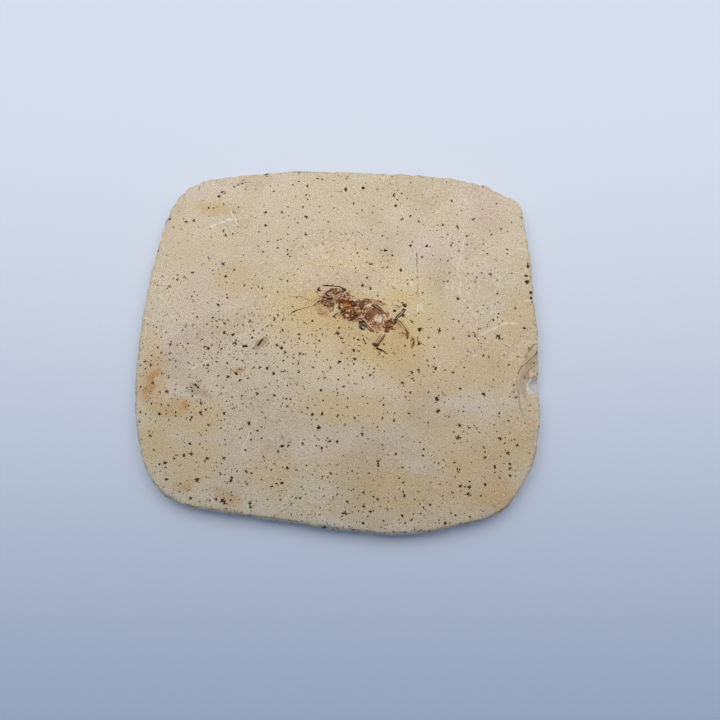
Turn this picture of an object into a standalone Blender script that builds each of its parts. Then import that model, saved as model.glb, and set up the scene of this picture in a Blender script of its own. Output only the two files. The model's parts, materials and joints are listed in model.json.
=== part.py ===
"""A fossil cricket on a trimmed slab of laminated limestone.

The slab is one stone, broken off bed by bed at its wall. The insect's remains are thin pieces of
iron-rich mineral, each set in its own shallow mould in the slab's upper face: the crushed body with
the limbs that are still joined to it, and five scraps of limb that lie apart. The slab rests on its
flat underside. +Z is up, +Y points to the slab's far edge, and the origin is the middle of the
underside. The sizes are millimetres times MM, in metres.
"""

import math

import bmesh
import bpy
from mathutils import Matrix, Vector, noise

MM = 0.001

# Driving sizes
THICKNESS = 7.0 * MM
CLEARANCE = 0.06 * MM  # between a piece of the insect and the mould it lies in
SUNK = 0.35 * MM  # how deep the insect's pieces reach below the slab's upper face
CRUMPLE = 0.16 * MM  # the unevenness of the crushed body
CRUMPLE_SIZE = 1.1 * MM
BLOCK = 60 * MM  # wider than the insect

# The slab's plan, in millimetres, from the near left corner round by the left side
PLAN = (
    (-38.2, -31.8), (-42.3, -26.2), (-44.1, -18.5), (-44.9, -9.0), (-44.6, -3.0),
    (-43.5, 8.0), (-41.6, 18.2), (-39.6, 26.2), (-37.1, 33.0), (-33.5, 37.2),
    (-28.0, 39.2), (-16.5, 40.6), (-2.9, 41.1), (8.0, 40.6), (20.0, 40.0),
    (27.1, 39.3), (33.4, 37.7), (36.4, 36.6), (37.5, 35.3), (39.3, 34.9),
    (41.1, 33.7), (42.2, 30.2), (43.4, 21.0), (44.5, 9.0), (44.9, 1.0),
    (44.8, -4.6), (45.1, -10.8), (45.2, -14.0), (44.5, -19.9), (42.9, -26.5),
    (40.7, -30.4), (38.1, -34.2), (34.0, -36.8), (26.2, -39.1), (19.0, -40.5),
    (11.0, -41.0), (1.8, -40.2), (-8.0, -38.8), (-20.0, -36.8), (-29.0, -35.2),
    (-34.3, -34.0),
)
PLAN_STEPS = 2  # straight stretches between two points of the plan

# Each bed of the stone: its top, how far it stands in from the plan, and how ragged it is. The last
# is the worn edge of the upper face.
BEDS = (
    (0.8, 1.00, 0.35), (2.0, 0.40, 0.50), (3.3, 0.05, 0.45), (4.4, 0.35, 0.50),
    (5.7, 0.00, 0.30), (6.7, 0.20, 0.18), (7.0, 0.45, 0.12),
)
SEAM = 0.05 * MM  # the rise of the ledge between one bed and the next
FRONT_FLARE = 0.9 * MM  # the near side slopes out by this much, from the top down
RAGGED_SIZE = 4.0 * MM

# Flakes lost from the rim: x, y, z of each scoop's middle, its three half lengths, and its turn
SCOOPS = (
    (46.3, -7.6, 9.5, 9.7, 13.8, 3.3, 3),  # the wide shell-shaped scar on the right side
    (46.4, -7.7, 7.4, 3.9, 2.0, 4.6, 0),  # the notch in the scar's rim
    (-19.4, -37.9, 7.3, 2.6, 1.8, 0.9, 8),
    (18.0, -41.9, 7.2, 4.0, 1.5, 1.0, -6),
    (36.6, 38.2, 6.9, 2.2, 2.4, 1.5, -40),
    (-45.8, -9.6, 6.6, 1.5, 3.0, 1.6, 0),
    (-8.0, 41.8, 6.9, 5.0, 1.3, 1.2, 0),
    (43.6, -30.6, 6.8, 1.8, 4.2, 1.3, -25),
    (-37.6, 35.6, 1.0, 3.4, 3.0, 2.0, 45),  # the last four are under the rim
    (24.0, -41.3, 0.2, 7.0, 2.2, 1.6, -10),
    (-30.0, -36.6, 0.4, 6.0, 1.8, 1.5, 10),
    (45.0, 18.0, 0.6, 1.8, 6.0, 1.9, 0),
)

# The bed broken away above the scar, as a flat-bottomed step: x, y, half lengths, turn, depth
LEDGE = (44.9, -0.2, 2.6, 4.4, -32, 0.20)
DRUM_HEIGHT = 4.0 * MM  # the drum that cuts the step stands well clear above the slab

# The crushed body's lumps: x, y, half lengths, turn, height above the slab
HEAD = (
    (-2.45, 11.0, 1.5, 1.35, 20, 0.42),
    (-1.05, 12.9, 1.4, 1.0, 12, 0.45),
    (0.9, 12.2, 2.35, 1.5, -25, 0.55),
    (-0.4, 11.1, 1.6, 1.15, -10, 0.42),
)
THORAX = (
    (2.2, 9.7, 2.0, 1.45, -35, 0.80),
    (4.3, 10.5, 1.4, 0.95, -20, 0.70),
    (4.5, 8.5, 2.3, 1.7, -35, 0.75),
    (2.8, 7.2, 0.85, 0.6, -10, 0.45),
)
ABDOMEN_FROM = (5.9, 9.3)
ABDOMEN_TO = (10.7, 6.2)
ABDOMEN_HALF_WIDTHS = (2.35, 2.85, 2.95, 2.7, 2.15, 1.4)
ABDOMEN_HEIGHTS = (0.75, 0.85, 0.85, 0.75, 0.65, 0.55)
SEGMENT_HALF_LENGTH = 1.0
TAIL = (
    (11.1, 4.8, 0.75, 0.75, 0, 0.50),
    (11.95, 6.05, 1.2, 0.75, 40, 0.50),
)
LEG_JOINTS = (
    (5.8, 5.8, 1.25, 0.95, -25, 0.85),  # the hip of the middle leg
    (1.55, 13.6, 0.65, 0.40, -30, 0.40),
    (15.1, 10.15, 0.60, 0.55, 0, 0.50),
    (15.85, 3.4, 0.45, 0.62, -20, 0.42),
    (8.55, 1.0, 0.62, 0.50, 45, 0.45),
)

# Legs and the antenna that reach the body: their thickness, and the line that each follows
LIMBS = (
    (0.36, ((-3.05, 14.6), (-1.05, 14.6), (0.4, 14.35), (1.5, 14.05), (2.15, 13.85))),
    (0.30, ((6.6, 5.1), (7.4, 4.45), (8.15, 4.2))),
    (0.72, ((11.1, 5.3), (13.1, 7.1), (14.45, 8.85), (15.2, 10.1))),
    (0.55, ((12.6, 6.8), (13.3, 7.0), (14.3, 6.05), (15.4, 4.1), (15.9, 3.1))),
    (0.72, ((11.45, 5.1), (11.1, 4.45), (9.85, 2.6), (8.6, 0.95))),
    (0.46, ((8.5, 0.75), (9.8, 0.0), (10.9, -0.5))),
    (0.28, ((10.6, -0.35), (11.3, -0.55), (12.0, -0.55), (13.05, -0.95))),
    (0.24, ((-10.2, 8.35), (-9.1, 8.95), (-7.75, 9.4), (-6.25, 9.85), (-5.0, 10.3), (-4.4, 10.85),
            (-3.2, 11.4))),
)

# The pieces that lie apart from the body
FRAGMENTS = {
    "upper_antenna": (0.22, ((-10.0, 12.2), (-8.5, 12.15), (-7.05, 11.65), (-5.75, 11.0))),
    "mouthpart": (0.42, ((-4.4, 13.0), (-4.3, 13.4), (-4.05, 13.85))),
    "middle_shin": (0.40, ((-0.3, 7.3), (-0.65, 7.9), (-0.1, 8.4), (0.65, 8.25))),
    "middle_foot": (0.30, ((-0.55, 3.7), (-0.2, 4.15), (0.05, 4.45))),
    "rear_foot": (0.42, ((16.6, 2.85), (17.05, 2.2), (17.0, 1.5), (16.9, 0.8))),
}
FLATNESS = 0.75  # a crushed leg's height as a share of its width
THIN = 0.5  # a limb thinner than this has six sides, and a thicker one eight
SHARP = math.radians(35)

LIMESTONE = ((0.55, 0.46, 0.31), 0.85)
GOETHITE = ((0.16, 0.075, 0.035), 0.55)
PALE_STAIN = ((0.33, 0.20, 0.10), 0.70)


def clear_scene():
    for obj in list(bpy.data.objects):
        bpy.data.objects.remove(obj)


def collection(name):
    made = bpy.data.collections.new(name)
    bpy.context.scene.collection.children.link(made)
    return made


def material(name, finish):
    """A plain dielectric of one colour and roughness."""
    colour, roughness = finish
    made = bpy.data.materials.new(name)
    made.use_nodes = True
    shader = made.node_tree.nodes["Principled BSDF"]
    shader.inputs["Base Color"].default_value = (*colour, 1.0)
    shader.inputs["Roughness"].default_value = roughness
    shader.inputs["Metallic"].default_value = 0.0
    return made


def new_object(name, mesh, into, finish=None):
    obj = bpy.data.objects.new(name, mesh)
    into.objects.link(obj)
    if finish is not None:
        mesh.materials.append(finish)
    return obj


def helper(obj):
    """A cutter isn't part of the object."""
    obj.hide_render = True
    obj.display_type = "WIRE"
    return obj


def mesh_of(obj):
    """The object's evaluated mesh with its caps welded on. The object itself is removed."""
    bpy.context.view_layer.update()
    evaluated = obj.evaluated_get(bpy.context.evaluated_depsgraph_get())
    mesh = bpy.data.meshes.new_from_object(evaluated)
    mesh.transform(obj.matrix_world)
    bpy.data.objects.remove(obj)
    shape = bmesh.new()
    shape.from_mesh(mesh)
    bmesh.ops.remove_doubles(shape, verts=shape.verts, dist=0.001 * MM)
    shape.to_mesh(mesh)
    shape.free()
    mesh.shade_smooth()
    mesh.set_sharp_from_angle(angle=SHARP)
    return mesh


def add_boolean(obj, operation, operand):
    """Joins to obj, or cuts from it, every object of the collection operand."""
    modifier = obj.modifiers.new(operand.name, "BOOLEAN")
    modifier.operation = operation
    modifier.operand_type = "COLLECTION"
    modifier.collection = operand
    modifier.solver = "EXACT"


def plan_curve():
    """The slab's plan as a filled curve, drawn out to the slab's thickness."""
    curve = bpy.data.curves.new("plan", "CURVE")
    curve.dimensions = "2D"
    curve.fill_mode = "BOTH"
    curve.resolution_u = PLAN_STEPS
    curve.extrude = THICKNESS / 2
    spline = curve.splines.new("BEZIER")
    spline.bezier_points.add(len(PLAN) - 1)
    spline.use_cyclic_u = True
    for point, (x, y) in zip(spline.bezier_points, PLAN):
        point.co = (x * MM, y * MM, 0)
        point.handle_left_type = "AUTO"
        point.handle_right_type = "AUTO"
    return curve


def set_back(place):
    """How far a point of the wall stands in from the plan."""
    x, y, z = place
    tops = [top * MM for top, _, _ in BEDS]
    bed = next(number for number, top in enumerate(tops) if z < top + SEAM / 2)
    _, inset, ragged = BEDS[bed]
    frontness = max(0.0, -y / math.hypot(x, y)) ** 3
    flare = FRONT_FLARE * frontness * z / THICKNESS
    rough = noise.noise(Vector((x / RAGGED_SIZE, y / RAGGED_SIZE, bed * 2.6)))
    return (inset + rough * ragged) * MM + flare


def slab_mesh():
    """The trimmed block with its wall broken bed by bed."""
    block = bpy.data.objects.new("block", plan_curve())
    block.location.z = THICKNESS / 2
    bpy.context.scene.collection.objects.link(block)
    mesh = mesh_of(block)
    shape = bmesh.new()
    shape.from_mesh(mesh)
    tops = [top * MM for top, _, _ in BEDS[:-1]]
    seams = [top + SEAM for top in tops[:-1]]
    for height in sorted(tops + seams):
        everything = shape.verts[:] + shape.edges[:] + shape.faces[:]
        level = (0, 0, height)
        bmesh.ops.bisect_plane(shape, geom=everything, plane_co=level, plane_no=(0, 0, 1))
    for vertex in shape.verts:
        outwards = Vector((vertex.co.x, vertex.co.y, 0)).normalized()
        vertex.co -= outwards * set_back(vertex.co)
    shape.to_mesh(mesh)
    shape.free()
    return mesh


def set_down(shape, name, size, turn, centre, into):
    """Gives a primitive its size, turn and place, and keeps it as a helper."""
    bmesh.ops.scale(shape, vec=size, verts=shape.verts)
    bmesh.ops.rotate(shape, matrix=Matrix.Rotation(math.radians(turn), 3, "Z"), verts=shape.verts)
    bmesh.ops.translate(shape, vec=centre, verts=shape.verts)
    mesh = bpy.data.meshes.new(name)
    shape.to_mesh(mesh)
    shape.free()
    return helper(new_object(name, mesh, into))


def scoop(place, into):
    """An ellipsoid that takes a shell-shaped flake off the rim."""
    x, y, z, half_x, half_y, half_z, turn = place
    shape = bmesh.new()
    bmesh.ops.create_icosphere(shape, subdivisions=3, radius=MM)
    return set_down(shape, "scoop", (half_x, half_y, half_z), turn, Vector((x, y, z)) * MM, into)


def ledge(into):
    """A short elliptical drum that takes one bed off the upper face down to a flat step."""
    x, y, half_x, half_y, turn, depth = LEDGE
    shape = bmesh.new()
    bmesh.ops.create_cone(
        shape, cap_ends=True, segments=28, radius1=MM, radius2=MM, depth=DRUM_HEIGHT
    )
    middle = THICKNESS - depth * MM + DRUM_HEIGHT / 2
    centre = (x * MM, y * MM, middle)
    return set_down(shape, "ledge", (half_x, half_y, 1), turn, centre, into)


def abdomen():
    """The abdomen's segments, one lump each, evenly spaced along its axis."""
    start, end = Vector(ABDOMEN_FROM), Vector(ABDOMEN_TO)
    along = end - start
    turn = math.degrees(math.atan2(along.y, along.x))
    last = len(ABDOMEN_HEIGHTS) - 1
    for number, (half_width, height) in enumerate(zip(ABDOMEN_HALF_WIDTHS, ABDOMEN_HEIGHTS)):
        x, y = start + along * (number / last)
        yield (x, y, SEGMENT_HALF_LENGTH, half_width, turn, height)


def lump(place, grow, into):
    """A flattened ellipsoid whose middle is level with the slab's upper face."""
    x, y, half_x, half_y, turn, height = place
    shape = bmesh.new()
    bmesh.ops.create_uvsphere(shape, u_segments=16, v_segments=6, radius=1.0)
    size = (half_x * MM + grow, half_y * MM + grow, height * MM + grow)
    return set_down(shape, "lump", size, turn, (x * MM, y * MM, THICKNESS), into)


def crumple(mesh):
    """Lifts and lowers the points that stand above the slab, as the crushed shell lies uneven."""
    for vertex in mesh.vertices:
        above = vertex.co.z - THICKNESS
        if above > CRUMPLE:
            vertex.co.z += noise.noise(vertex.co / CRUMPLE_SIZE) * CRUMPLE


def below(top, into):
    """A block that fills the space under a level, wider than the insect."""
    shape = bmesh.new()
    bmesh.ops.create_cube(shape, size=BLOCK)
    return set_down(shape, "below", (1, 1, 1), 0, (0, 0, top - BLOCK / 2), into)


def insect_mesh(grow):
    """The crushed body and its limbs as one closed solid, larger all round by grow."""
    lumps, under = collection("lumps"), collection("under")
    first, *others = [*HEAD, *THORAX, *abdomen(), *TAIL, *LEG_JOINTS]
    for place in others:
        lump(place, grow, lumps)
    for thickness, points in LIMBS:
        helper(new_object("limb", line_mesh("limb", thickness, points, grow), lumps))
    below(THICKNESS - SUNK - grow, under)
    head = lump(first, grow, bpy.context.scene.collection)
    add_boolean(head, "UNION", lumps)
    add_boolean(head, "DIFFERENCE", under)
    mesh = mesh_of(head)
    for used in (lumps, under):
        for obj in list(used.objects):
            bpy.data.objects.remove(obj)
        bpy.data.collections.remove(used)
    if grow == 0:
        crumple(mesh)
    return mesh


def line_mesh(name, thickness, points, grow):
    """A crushed leg or antenna: a round rod pressed flat, half of it below the slab's face."""
    curve = bpy.data.curves.new(name, "CURVE")
    curve.dimensions = "3D"
    curve.bevel_depth = thickness / 2 * MM + grow
    curve.bevel_resolution = 1 if thickness < THIN else 2
    curve.use_fill_caps = True
    curve.resolution_u = 2
    spline = curve.splines.new("BEZIER")
    spline.bezier_points.add(len(points) - 1)
    ends = [Vector(point) for point in points]
    ends[0] -= (ends[1] - ends[0]).normalized() * grow / MM
    ends[-1] += (ends[-1] - ends[-2]).normalized() * grow / MM
    for point, (x, y) in zip(spline.bezier_points, ends):
        point.co = (x * MM, y * MM, 0)
        point.handle_left_type = "AUTO"
        point.handle_right_type = "AUTO"
    rod = bpy.data.objects.new(name, curve)
    rod.scale.z = FLATNESS
    rod.location.z = THICKNESS
    bpy.context.scene.collection.objects.link(rod)
    return mesh_of(rod)


def build():
    clear_scene()
    fossil = collection("fossil_insect")
    scoops, moulds = collection("scoops"), collection("moulds")
    limestone = material("limestone", LIMESTONE)
    goethite = material("goethite", GOETHITE)
    pale_stain = material("pale_goethite", PALE_STAIN)

    new_object("insect", insect_mesh(0), fossil, goethite)
    helper(new_object("insect_mould", insect_mesh(CLEARANCE), moulds))
    for name, (thickness, points) in FRAGMENTS.items():
        finish = pale_stain if name.endswith("antenna") else goethite
        new_object(name, line_mesh(name, thickness, points, 0), fossil, finish)
        helper(new_object(name + "_mould", line_mesh(name, thickness, points, CLEARANCE), moulds))

    slab = new_object("limestone_slab", slab_mesh(), fossil, limestone)
    for place in SCOOPS:
        scoop(place, scoops)
    ledge(scoops)
    add_boolean(slab, "DIFFERENCE", scoops)
    add_boolean(slab, "DIFFERENCE", moulds)


build()
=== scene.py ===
# %% [markdown]
# # A fossil cricket on a slab of limestone
#
# The object is a hand-sized slab of pale, laminated limestone with the crushed remains of a cricket
# on its upper face. This lesson dresses its packed model: the stone gets a broken, layered wall and
# a freckled face, and the insect becomes a thin mineral skin, painted stroke by stroke.
#
# The packed model is loaded first and stays as it is. Every new piece is measured from it.

import json
import math

import bpy
import numpy as np
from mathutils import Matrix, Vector, kdtree, noise

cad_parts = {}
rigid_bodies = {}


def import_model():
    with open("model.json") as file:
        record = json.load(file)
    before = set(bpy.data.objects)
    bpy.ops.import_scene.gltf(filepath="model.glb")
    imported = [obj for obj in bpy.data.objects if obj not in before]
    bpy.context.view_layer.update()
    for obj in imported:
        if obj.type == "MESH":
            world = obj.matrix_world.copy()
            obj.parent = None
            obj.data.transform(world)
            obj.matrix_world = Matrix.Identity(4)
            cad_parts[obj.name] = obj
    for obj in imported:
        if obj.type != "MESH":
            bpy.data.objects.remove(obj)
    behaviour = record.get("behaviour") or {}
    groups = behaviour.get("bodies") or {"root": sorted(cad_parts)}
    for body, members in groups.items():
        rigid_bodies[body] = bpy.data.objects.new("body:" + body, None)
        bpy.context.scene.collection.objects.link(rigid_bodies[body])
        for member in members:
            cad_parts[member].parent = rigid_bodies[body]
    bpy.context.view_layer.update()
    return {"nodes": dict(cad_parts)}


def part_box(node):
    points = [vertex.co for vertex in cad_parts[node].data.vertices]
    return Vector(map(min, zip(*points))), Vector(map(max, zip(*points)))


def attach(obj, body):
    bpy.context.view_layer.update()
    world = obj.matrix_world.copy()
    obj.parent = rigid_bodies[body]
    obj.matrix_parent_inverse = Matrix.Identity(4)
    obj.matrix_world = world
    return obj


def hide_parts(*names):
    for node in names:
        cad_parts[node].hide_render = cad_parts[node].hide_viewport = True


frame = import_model()

MM = 0.001
slab_low, slab_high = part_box("limestone_slab")
FACE = slab_high.z / MM  # the height of the slab's upper face
print("pieces:", sorted(frame["nodes"]))
print("slab, mm:", [round(side / MM, 1) for side in slab_high - slab_low])

# %% [markdown]
# ## The camera
#
# The slab lies flat, and the camera looks down on it from 222 mm, leaning 6 degrees towards the
# near side, so that a narrow strip of the near wall shows. Lengths are in millimetres times MM.

# %% Place the camera
LOOK_AT = Vector((5.15, -2.15, FACE)) * MM
DISTANCE = 222.22 * MM
LEAN = math.radians(6)
NEAREST = 10 * MM

towards_camera = Vector((0, -math.sin(LEAN), math.cos(LEAN)))
bpy.ops.object.camera_add(location=LOOK_AT + towards_camera * DISTANCE, rotation=(LEAN, 0, 0))
camera = bpy.context.object
camera.data.lens = 50
camera.data.sensor_width = 36
camera.data.clip_start = NEAREST
bpy.context.scene.camera = camera
print("camera, mm:", [round(place / MM, 1) for place in camera.location])

# %% [markdown]
# ## Four helpers
#
# Colours are written as the screen shows them, as hex values. The shaders calculate with linear
# light, so one function converts them. The second adds a node, with its settings and its links, and
# finds each input by its identifier, because a Mix node has three inputs that are all named A. The
# third measures places along and across a turned oval, for paint and for relief. The last reads the
# tables in which marks and strokes are listed, with one mark in each row.

# %% Helpers for colours, nodes, ovals and tables
def linear(colour):
    """An sRGB hex colour as linear light."""
    screen = [int(colour[start:start + 2], 16) / 255 for start in (1, 3, 5)]
    return [c / 12.92 if c <= 0.04045 else ((c + 0.055) / 1.055) ** 2.4 for c in screen]


def add(tree, kind, inputs, **settings):
    """A new node. Each input is a number, a colour, a vector or another node's output."""
    node = tree.nodes.new("ShaderNode" + kind)
    for name, value in settings.items():
        setattr(node, name, value)
    for identifier, value in inputs.items():
        socket = next(found for found in node.inputs if found.identifier == identifier)
        if isinstance(value, bpy.types.NodeSocket):
            tree.links.new(value, socket)
        elif isinstance(value, str):
            socket.default_value = (*linear(value), 1)
        else:
            socket.default_value = value
    return node


def turned(places, middle, half, turn):
    """Places as an oval sees them: along and across it, in its half lengths."""
    angle = math.radians(turn)
    offset = places - np.array(middle)
    along = offset @ np.array((math.cos(angle), math.sin(angle))) / half[0]
    across = offset @ np.array((-math.sin(angle), math.cos(angle))) / half[1]
    return along, across


def rows(text):
    """The rows of a table, as words and numbers. An indented row goes on with the one above it."""
    return [
        [word if word[0] == "#" or word.isalpha() else float(word) for word in row.split()]
        for row in text.replace("\n ", " ").split("\n")[1:-1]
    ]


print("linear grey:", [round(part, 3) for part in linear("#808080")])

# %% [markdown]
# ## The table
#
# The slab lies on a pale, cool board that is far larger than the view, so that it has no edge. It is
# satin paint: a dielectric of IOR 1.5, rough enough to give no reflections.

# %% Lay the table
TABLE_HALF = 600 * MM
TABLE_DROP = 0.02 * MM  # just clear of the slab's underside
BOARD_ROUGH = 0.6

bpy.ops.mesh.primitive_circle_add(
    vertices=96, radius=TABLE_HALF, fill_type="NGON", location=(0, 0, -TABLE_DROP)
)
table = bpy.context.object
table.name = "table"
bpy.ops.object.transform_apply(location=True, rotation=True, scale=True)
painted_board = bpy.data.materials.new("painted_board")
painted_board.use_nodes = True
board_shader = painted_board.node_tree.nodes["Principled BSDF"]
board_shader.inputs["Base Color"].default_value = (*linear("#d5e2f9"), 1)
board_shader.inputs["Roughness"].default_value = BOARD_ROUGH
table.data.materials.append(painted_board)
print("table, mm across:", 2 * TABLE_HALF / MM)

# %% [markdown]
# ## The light
#
# A long strip panel hangs level, behind and above the slab, with a grid in front that narrows its
# beam. So the light is even at the far side, fades towards the near side, and throws a short, soft
# shadow beside the near edge. The panel is warm. A large, high panel adds the blue of a clear sky
# from behind, which makes the shadow wider. The surrounding light is dim and nearly neutral.

# %% Light the table
STRIP_LENGTH, STRIP_WIDTH = 693 * MM, 155 * MM
STRIP_PLACE = Vector((-10, 76, 250)) * MM
STRIP_BEAM = 90  # how wide the grid lets the beam spread, in degrees
STRIP_POWER = 0.40
SKY_LENGTH, SKY_WIDTH = 1000 * MM, 800 * MM
SKY_PLACE = Vector((0, 450, 900)) * MM
SKY_POWER = 2.5
FILL_STRENGTH = 0.26


def level_panel(name, place, length, width, power, colour):
    """A soft light that hangs level."""
    bpy.ops.object.light_add(type="AREA", location=place)
    panel = bpy.context.object
    panel.name = name
    panel.data.shape = "RECTANGLE"
    panel.data.size = length
    panel.data.size_y = width
    panel.data.energy = power
    panel.data.color = linear(colour)
    return panel


strip = level_panel("strip_panel", STRIP_PLACE, STRIP_LENGTH, STRIP_WIDTH, STRIP_POWER, "#ffeec9")
strip.data.spread = math.radians(STRIP_BEAM)
level_panel("sky_panel", SKY_PLACE, SKY_LENGTH, SKY_WIDTH, SKY_POWER, "#8ebdff")

surround = bpy.data.worlds.new("surround")
surround.use_nodes = True
sky = surround.node_tree.nodes["Background"]
sky.inputs["Color"].default_value = (*linear("#dceaff"), 1)
sky.inputs["Strength"].default_value = FILL_STRENGTH
bpy.context.scene.world = surround
bpy.context.scene.view_settings.view_transform = "Standard"
print("strip panel, mm:", [round(place / MM) for place in STRIP_PLACE])

# %% [markdown]
# ## Quarried limestone
#
# The stone is a fine, chalky lime mud that settled in beds. It was split along a bed, so the face is
# matt and finely grained, with these marks:
#
# - drifts of cream, straw and pinkish grey, some tens of millimetres wide;
# - rust stains, in soft-edged patches;
# - freckles of iron and manganese mineral, 0.2 to 0.9 mm wide, which pervade the whole stone;
# - a few pale scratches from the tool that cleaned it.
#
# The colour is one node group, because the skin of the insect lies on the same stone and has to
# match it where it thins out. Everything reads Object coordinates, in metres, so a pattern's scale
# is one over its size.

# %% [markdown]
# ### Drifts, stains and beds
#
# The mud changed a little while it settled, and water has stained it since. A stain is a round
# spot, on coordinates that are pushed about, so its outline wanders. Spots are the same at every
# depth. The beds are noise squeezed in height, so they show on the wall alone.

# %% List the stains
# Each stain: its colour, strength, x, y, half lengths in x and y, and turn in degrees.
STAINS = """
#d9ccba .7 31 37 9 6 -10
#d9ccba .7 38 29 5 8 0
#d9ccbc .75 5 18 13 5 -6
#d8cbbb .65 -19 7 8 5 15
#d8cbbb .6 -4 0 8 5 0
#d8cabb .75 -10 -21 9 5 10
#d8cab9 .6 -20 -29 9 4 0
#d9ccba .6 9 30 7 4 0
#d9ccba .65 -24 29 6 3 0
#d8cbba .6 26 16 6 5 0
#d5c6b6 .6 -28.5 14 9 5 20
#d5c6b4 .45 -20 -8 16 8 10
#d5c7b8 .55 13 -22 8 5 0
#d9ccba .5 -38 14 5 4 0
#d4be95 .6 34 -2 12 8 0
#cfb88c .65 -31 -15 7 4 0
#d2bc92 .65 4 -13 14 4 -4
#d0b98b .65 39 -20 6 7 0
#cfb88c .7 13 -31 11 4.5 -4
#d2bd95 .6 -23 16 5 4 0
#cfb88c .6 -40 -20 4 5 0
#d2bc92 .55 25 -20 9 6 0
#d2bc92 .5 4 7 22 9 -8
#d1bb91 .45 12 -36 20 3 -4
#decda0 .65 4 9 20 13 -8
#dfcfae .5 6 16 14 6 -8
#e0d0b4 .45 8 -3 18 7 -4
#c79c55 .4 -40.6 -6.5 3.2 6.5 -12
#b97f31 .5 -41.4 -8 .9 2.6 -12
#b97f31 .45 -40.2 -5.5 .7 1.6 -30
#c79c55 .45 -37 -12.5 5 2 15
#bd8636 .5 -33.5 -12 1 .9 0
#c9a564 .4 -27.5 32.4 5 1.6 -8
#c79d58 .45 35 -32 4.4 3.6 30
#c9a05f .4 -42.1 25.9 3.2 3 0
#c59a4c .4 -24 -32 3.6 1.8 -25
#c59a4c .4 -33 -29.5 3 1.3 20
#d1b688 .6 30 -29 9 7 0
#d1b688 .5 -14 -27 6 5 0
#d1b688 .5 -32 -25 7 5 0
#d1b688 .35 4 -26 12 4 0
#d1b688 .45 19 -7 9 4 -10
#d1b688 .4 13 -1 6 4 0
#d1b688 .45 41 8 4 5 0
#d1b688 .35 -41 1 3 5 0
#dacdc8 .5 -31 37 6 3 0
#dacdc8 .5 32 33 6 7 0
#dacdc8 .5 22 23 8 4 0
#dacdc8 .45 -33 1 6 5 0
#dacdc8 .4 1 16 12 3 0
#dcc48a .36 8.8 1 5.5 4.2 -20
#dcc48a .4 16.6 3 2.6 4.4 0
#dcb66c .14 -5.2 11.5 4 2.2 15
#dcb66c .2 .4 5.8 3.5 1.6 -20
#dcb66c .35 15 11.6 3 1.4 0
#8d6f58 .55 -17 1.9 .9 2 -35
#8f775c .42 -30.2 -8.8 2.4 1 -30
#ac8238 .5 -22.6 -4.9 1.2 .6 -30
#c9a06a .25 4 6 16 7 -25
"""
print("stains:", len(rows(STAINS)))

# %% Colour the stone broadly
DRIFT_SIZE = 16
STAIN_SPREAD = 1.4  # a stain's faint edge lies past its half lengths
STAIN_WARP = (5, 2.6)  # the size and the reach of the waves in an outline
BEDS_PER_METRE = (80, 80, 1400)  # 12 mm long and 0.7 mm thick


def patch(tree, coordinates, x, y, half_x, half_y, turn):
    """A round spot that is 1 in its middle and 0 at its edge, the same at every depth."""
    place = add(tree, "Mapping", {
        "Vector": coordinates,
        "Location": (x * MM, y * MM, 0),
        "Rotation": (0, 0, math.radians(turn)),
        "Scale": (half_x * MM, half_y * MM, 1),
    }, vector_type="TEXTURE")
    return add(tree, "TexGradient", {"Vector": place.outputs[0]}, gradient_type="SPHERICAL").outputs[1]


def warped(tree, coordinates, size, reach):
    """Coordinates pushed about, so that what is drawn on them gets an irregular outline."""
    push = add(tree, "TexNoise", {
        "Vector": coordinates, "Scale": 1 / (size * MM), "Detail": 2.0, "Roughness": 0.6,
    })
    centred = add(tree, "VectorMath", {
        "Vector": push.outputs["Color"], "Vector_001": (0.5, 0.5, 0.5),
    }, operation="SUBTRACT")
    return add(tree, "VectorMath", {
        "Vector": centred.outputs[0],
        "Vector_001": (2 * reach * MM,) * 3,
        "Vector_002": coordinates,
    }, operation="MULTIPLY_ADD").outputs[0]


tree = bpy.data.node_groups.new("limestone", "ShaderNodeTree")
tree.interface.new_socket("Color", in_out="OUTPUT", socket_type="NodeSocketColor")
tree.interface.new_socket("Height", in_out="OUTPUT", socket_type="NodeSocketFloat")
place = add(tree, "TexCoord", {}).outputs["Object"]

drift = add(tree, "TexNoise", {"Vector": place, "Scale": 1 / (DRIFT_SIZE * MM), "Detail": 3.0})
colour = add(tree, "Mix", {
    "Factor_Float": add(tree, "MapRange", {
        "Value": drift.outputs[0], "From Min": 0.38, "From Max": 0.64,
    }).outputs[0],
    "A_Color": "#d3c8b0", "B_Color": "#d7cbba",
}, data_type="RGBA").outputs[2]

soft_place = warped(tree, place, *STAIN_WARP)
for stain, strength, x, y, half_x, half_y, turn in rows(STAINS):
    spot = patch(tree, soft_place, x, y, half_x * STAIN_SPREAD, half_y * STAIN_SPREAD, turn)
    share = add(tree, "MapRange", {
        "Value": spot, "From Max": 0.6, "To Max": strength,
    }, interpolation_type="SMOOTHSTEP")
    colour = add(tree, "Mix", {
        "Factor_Float": share.outputs[0], "A_Color": colour, "B_Color": stain,
    }, data_type="RGBA").outputs[2]

bedded = add(tree, "Mapping", {"Vector": place, "Scale": BEDS_PER_METRE}).outputs[0]
beds = add(tree, "TexNoise", {"Vector": bedded, "Scale": 1.0, "Detail": 3.0})
colour = add(tree, "Mix", {
    "Factor_Float": add(tree, "MapRange", {
        "Value": beds.outputs[0], "From Min": 0.5, "From Max": 0.75, "To Max": 0.35,
    }).outputs[0],
    "A_Color": colour, "B_Color": "#a98f63",
}, data_type="RGBA").outputs[2]
print("nodes so far:", len(tree.nodes))

# %% [markdown]
# ### Grain and crumbs
#
# The face is grained as fine as chalk. Grains of 0.24 mm are coarser than the real ones, but finer
# ones would not show. Among them lie a few pale and rusty crumbs.

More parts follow.
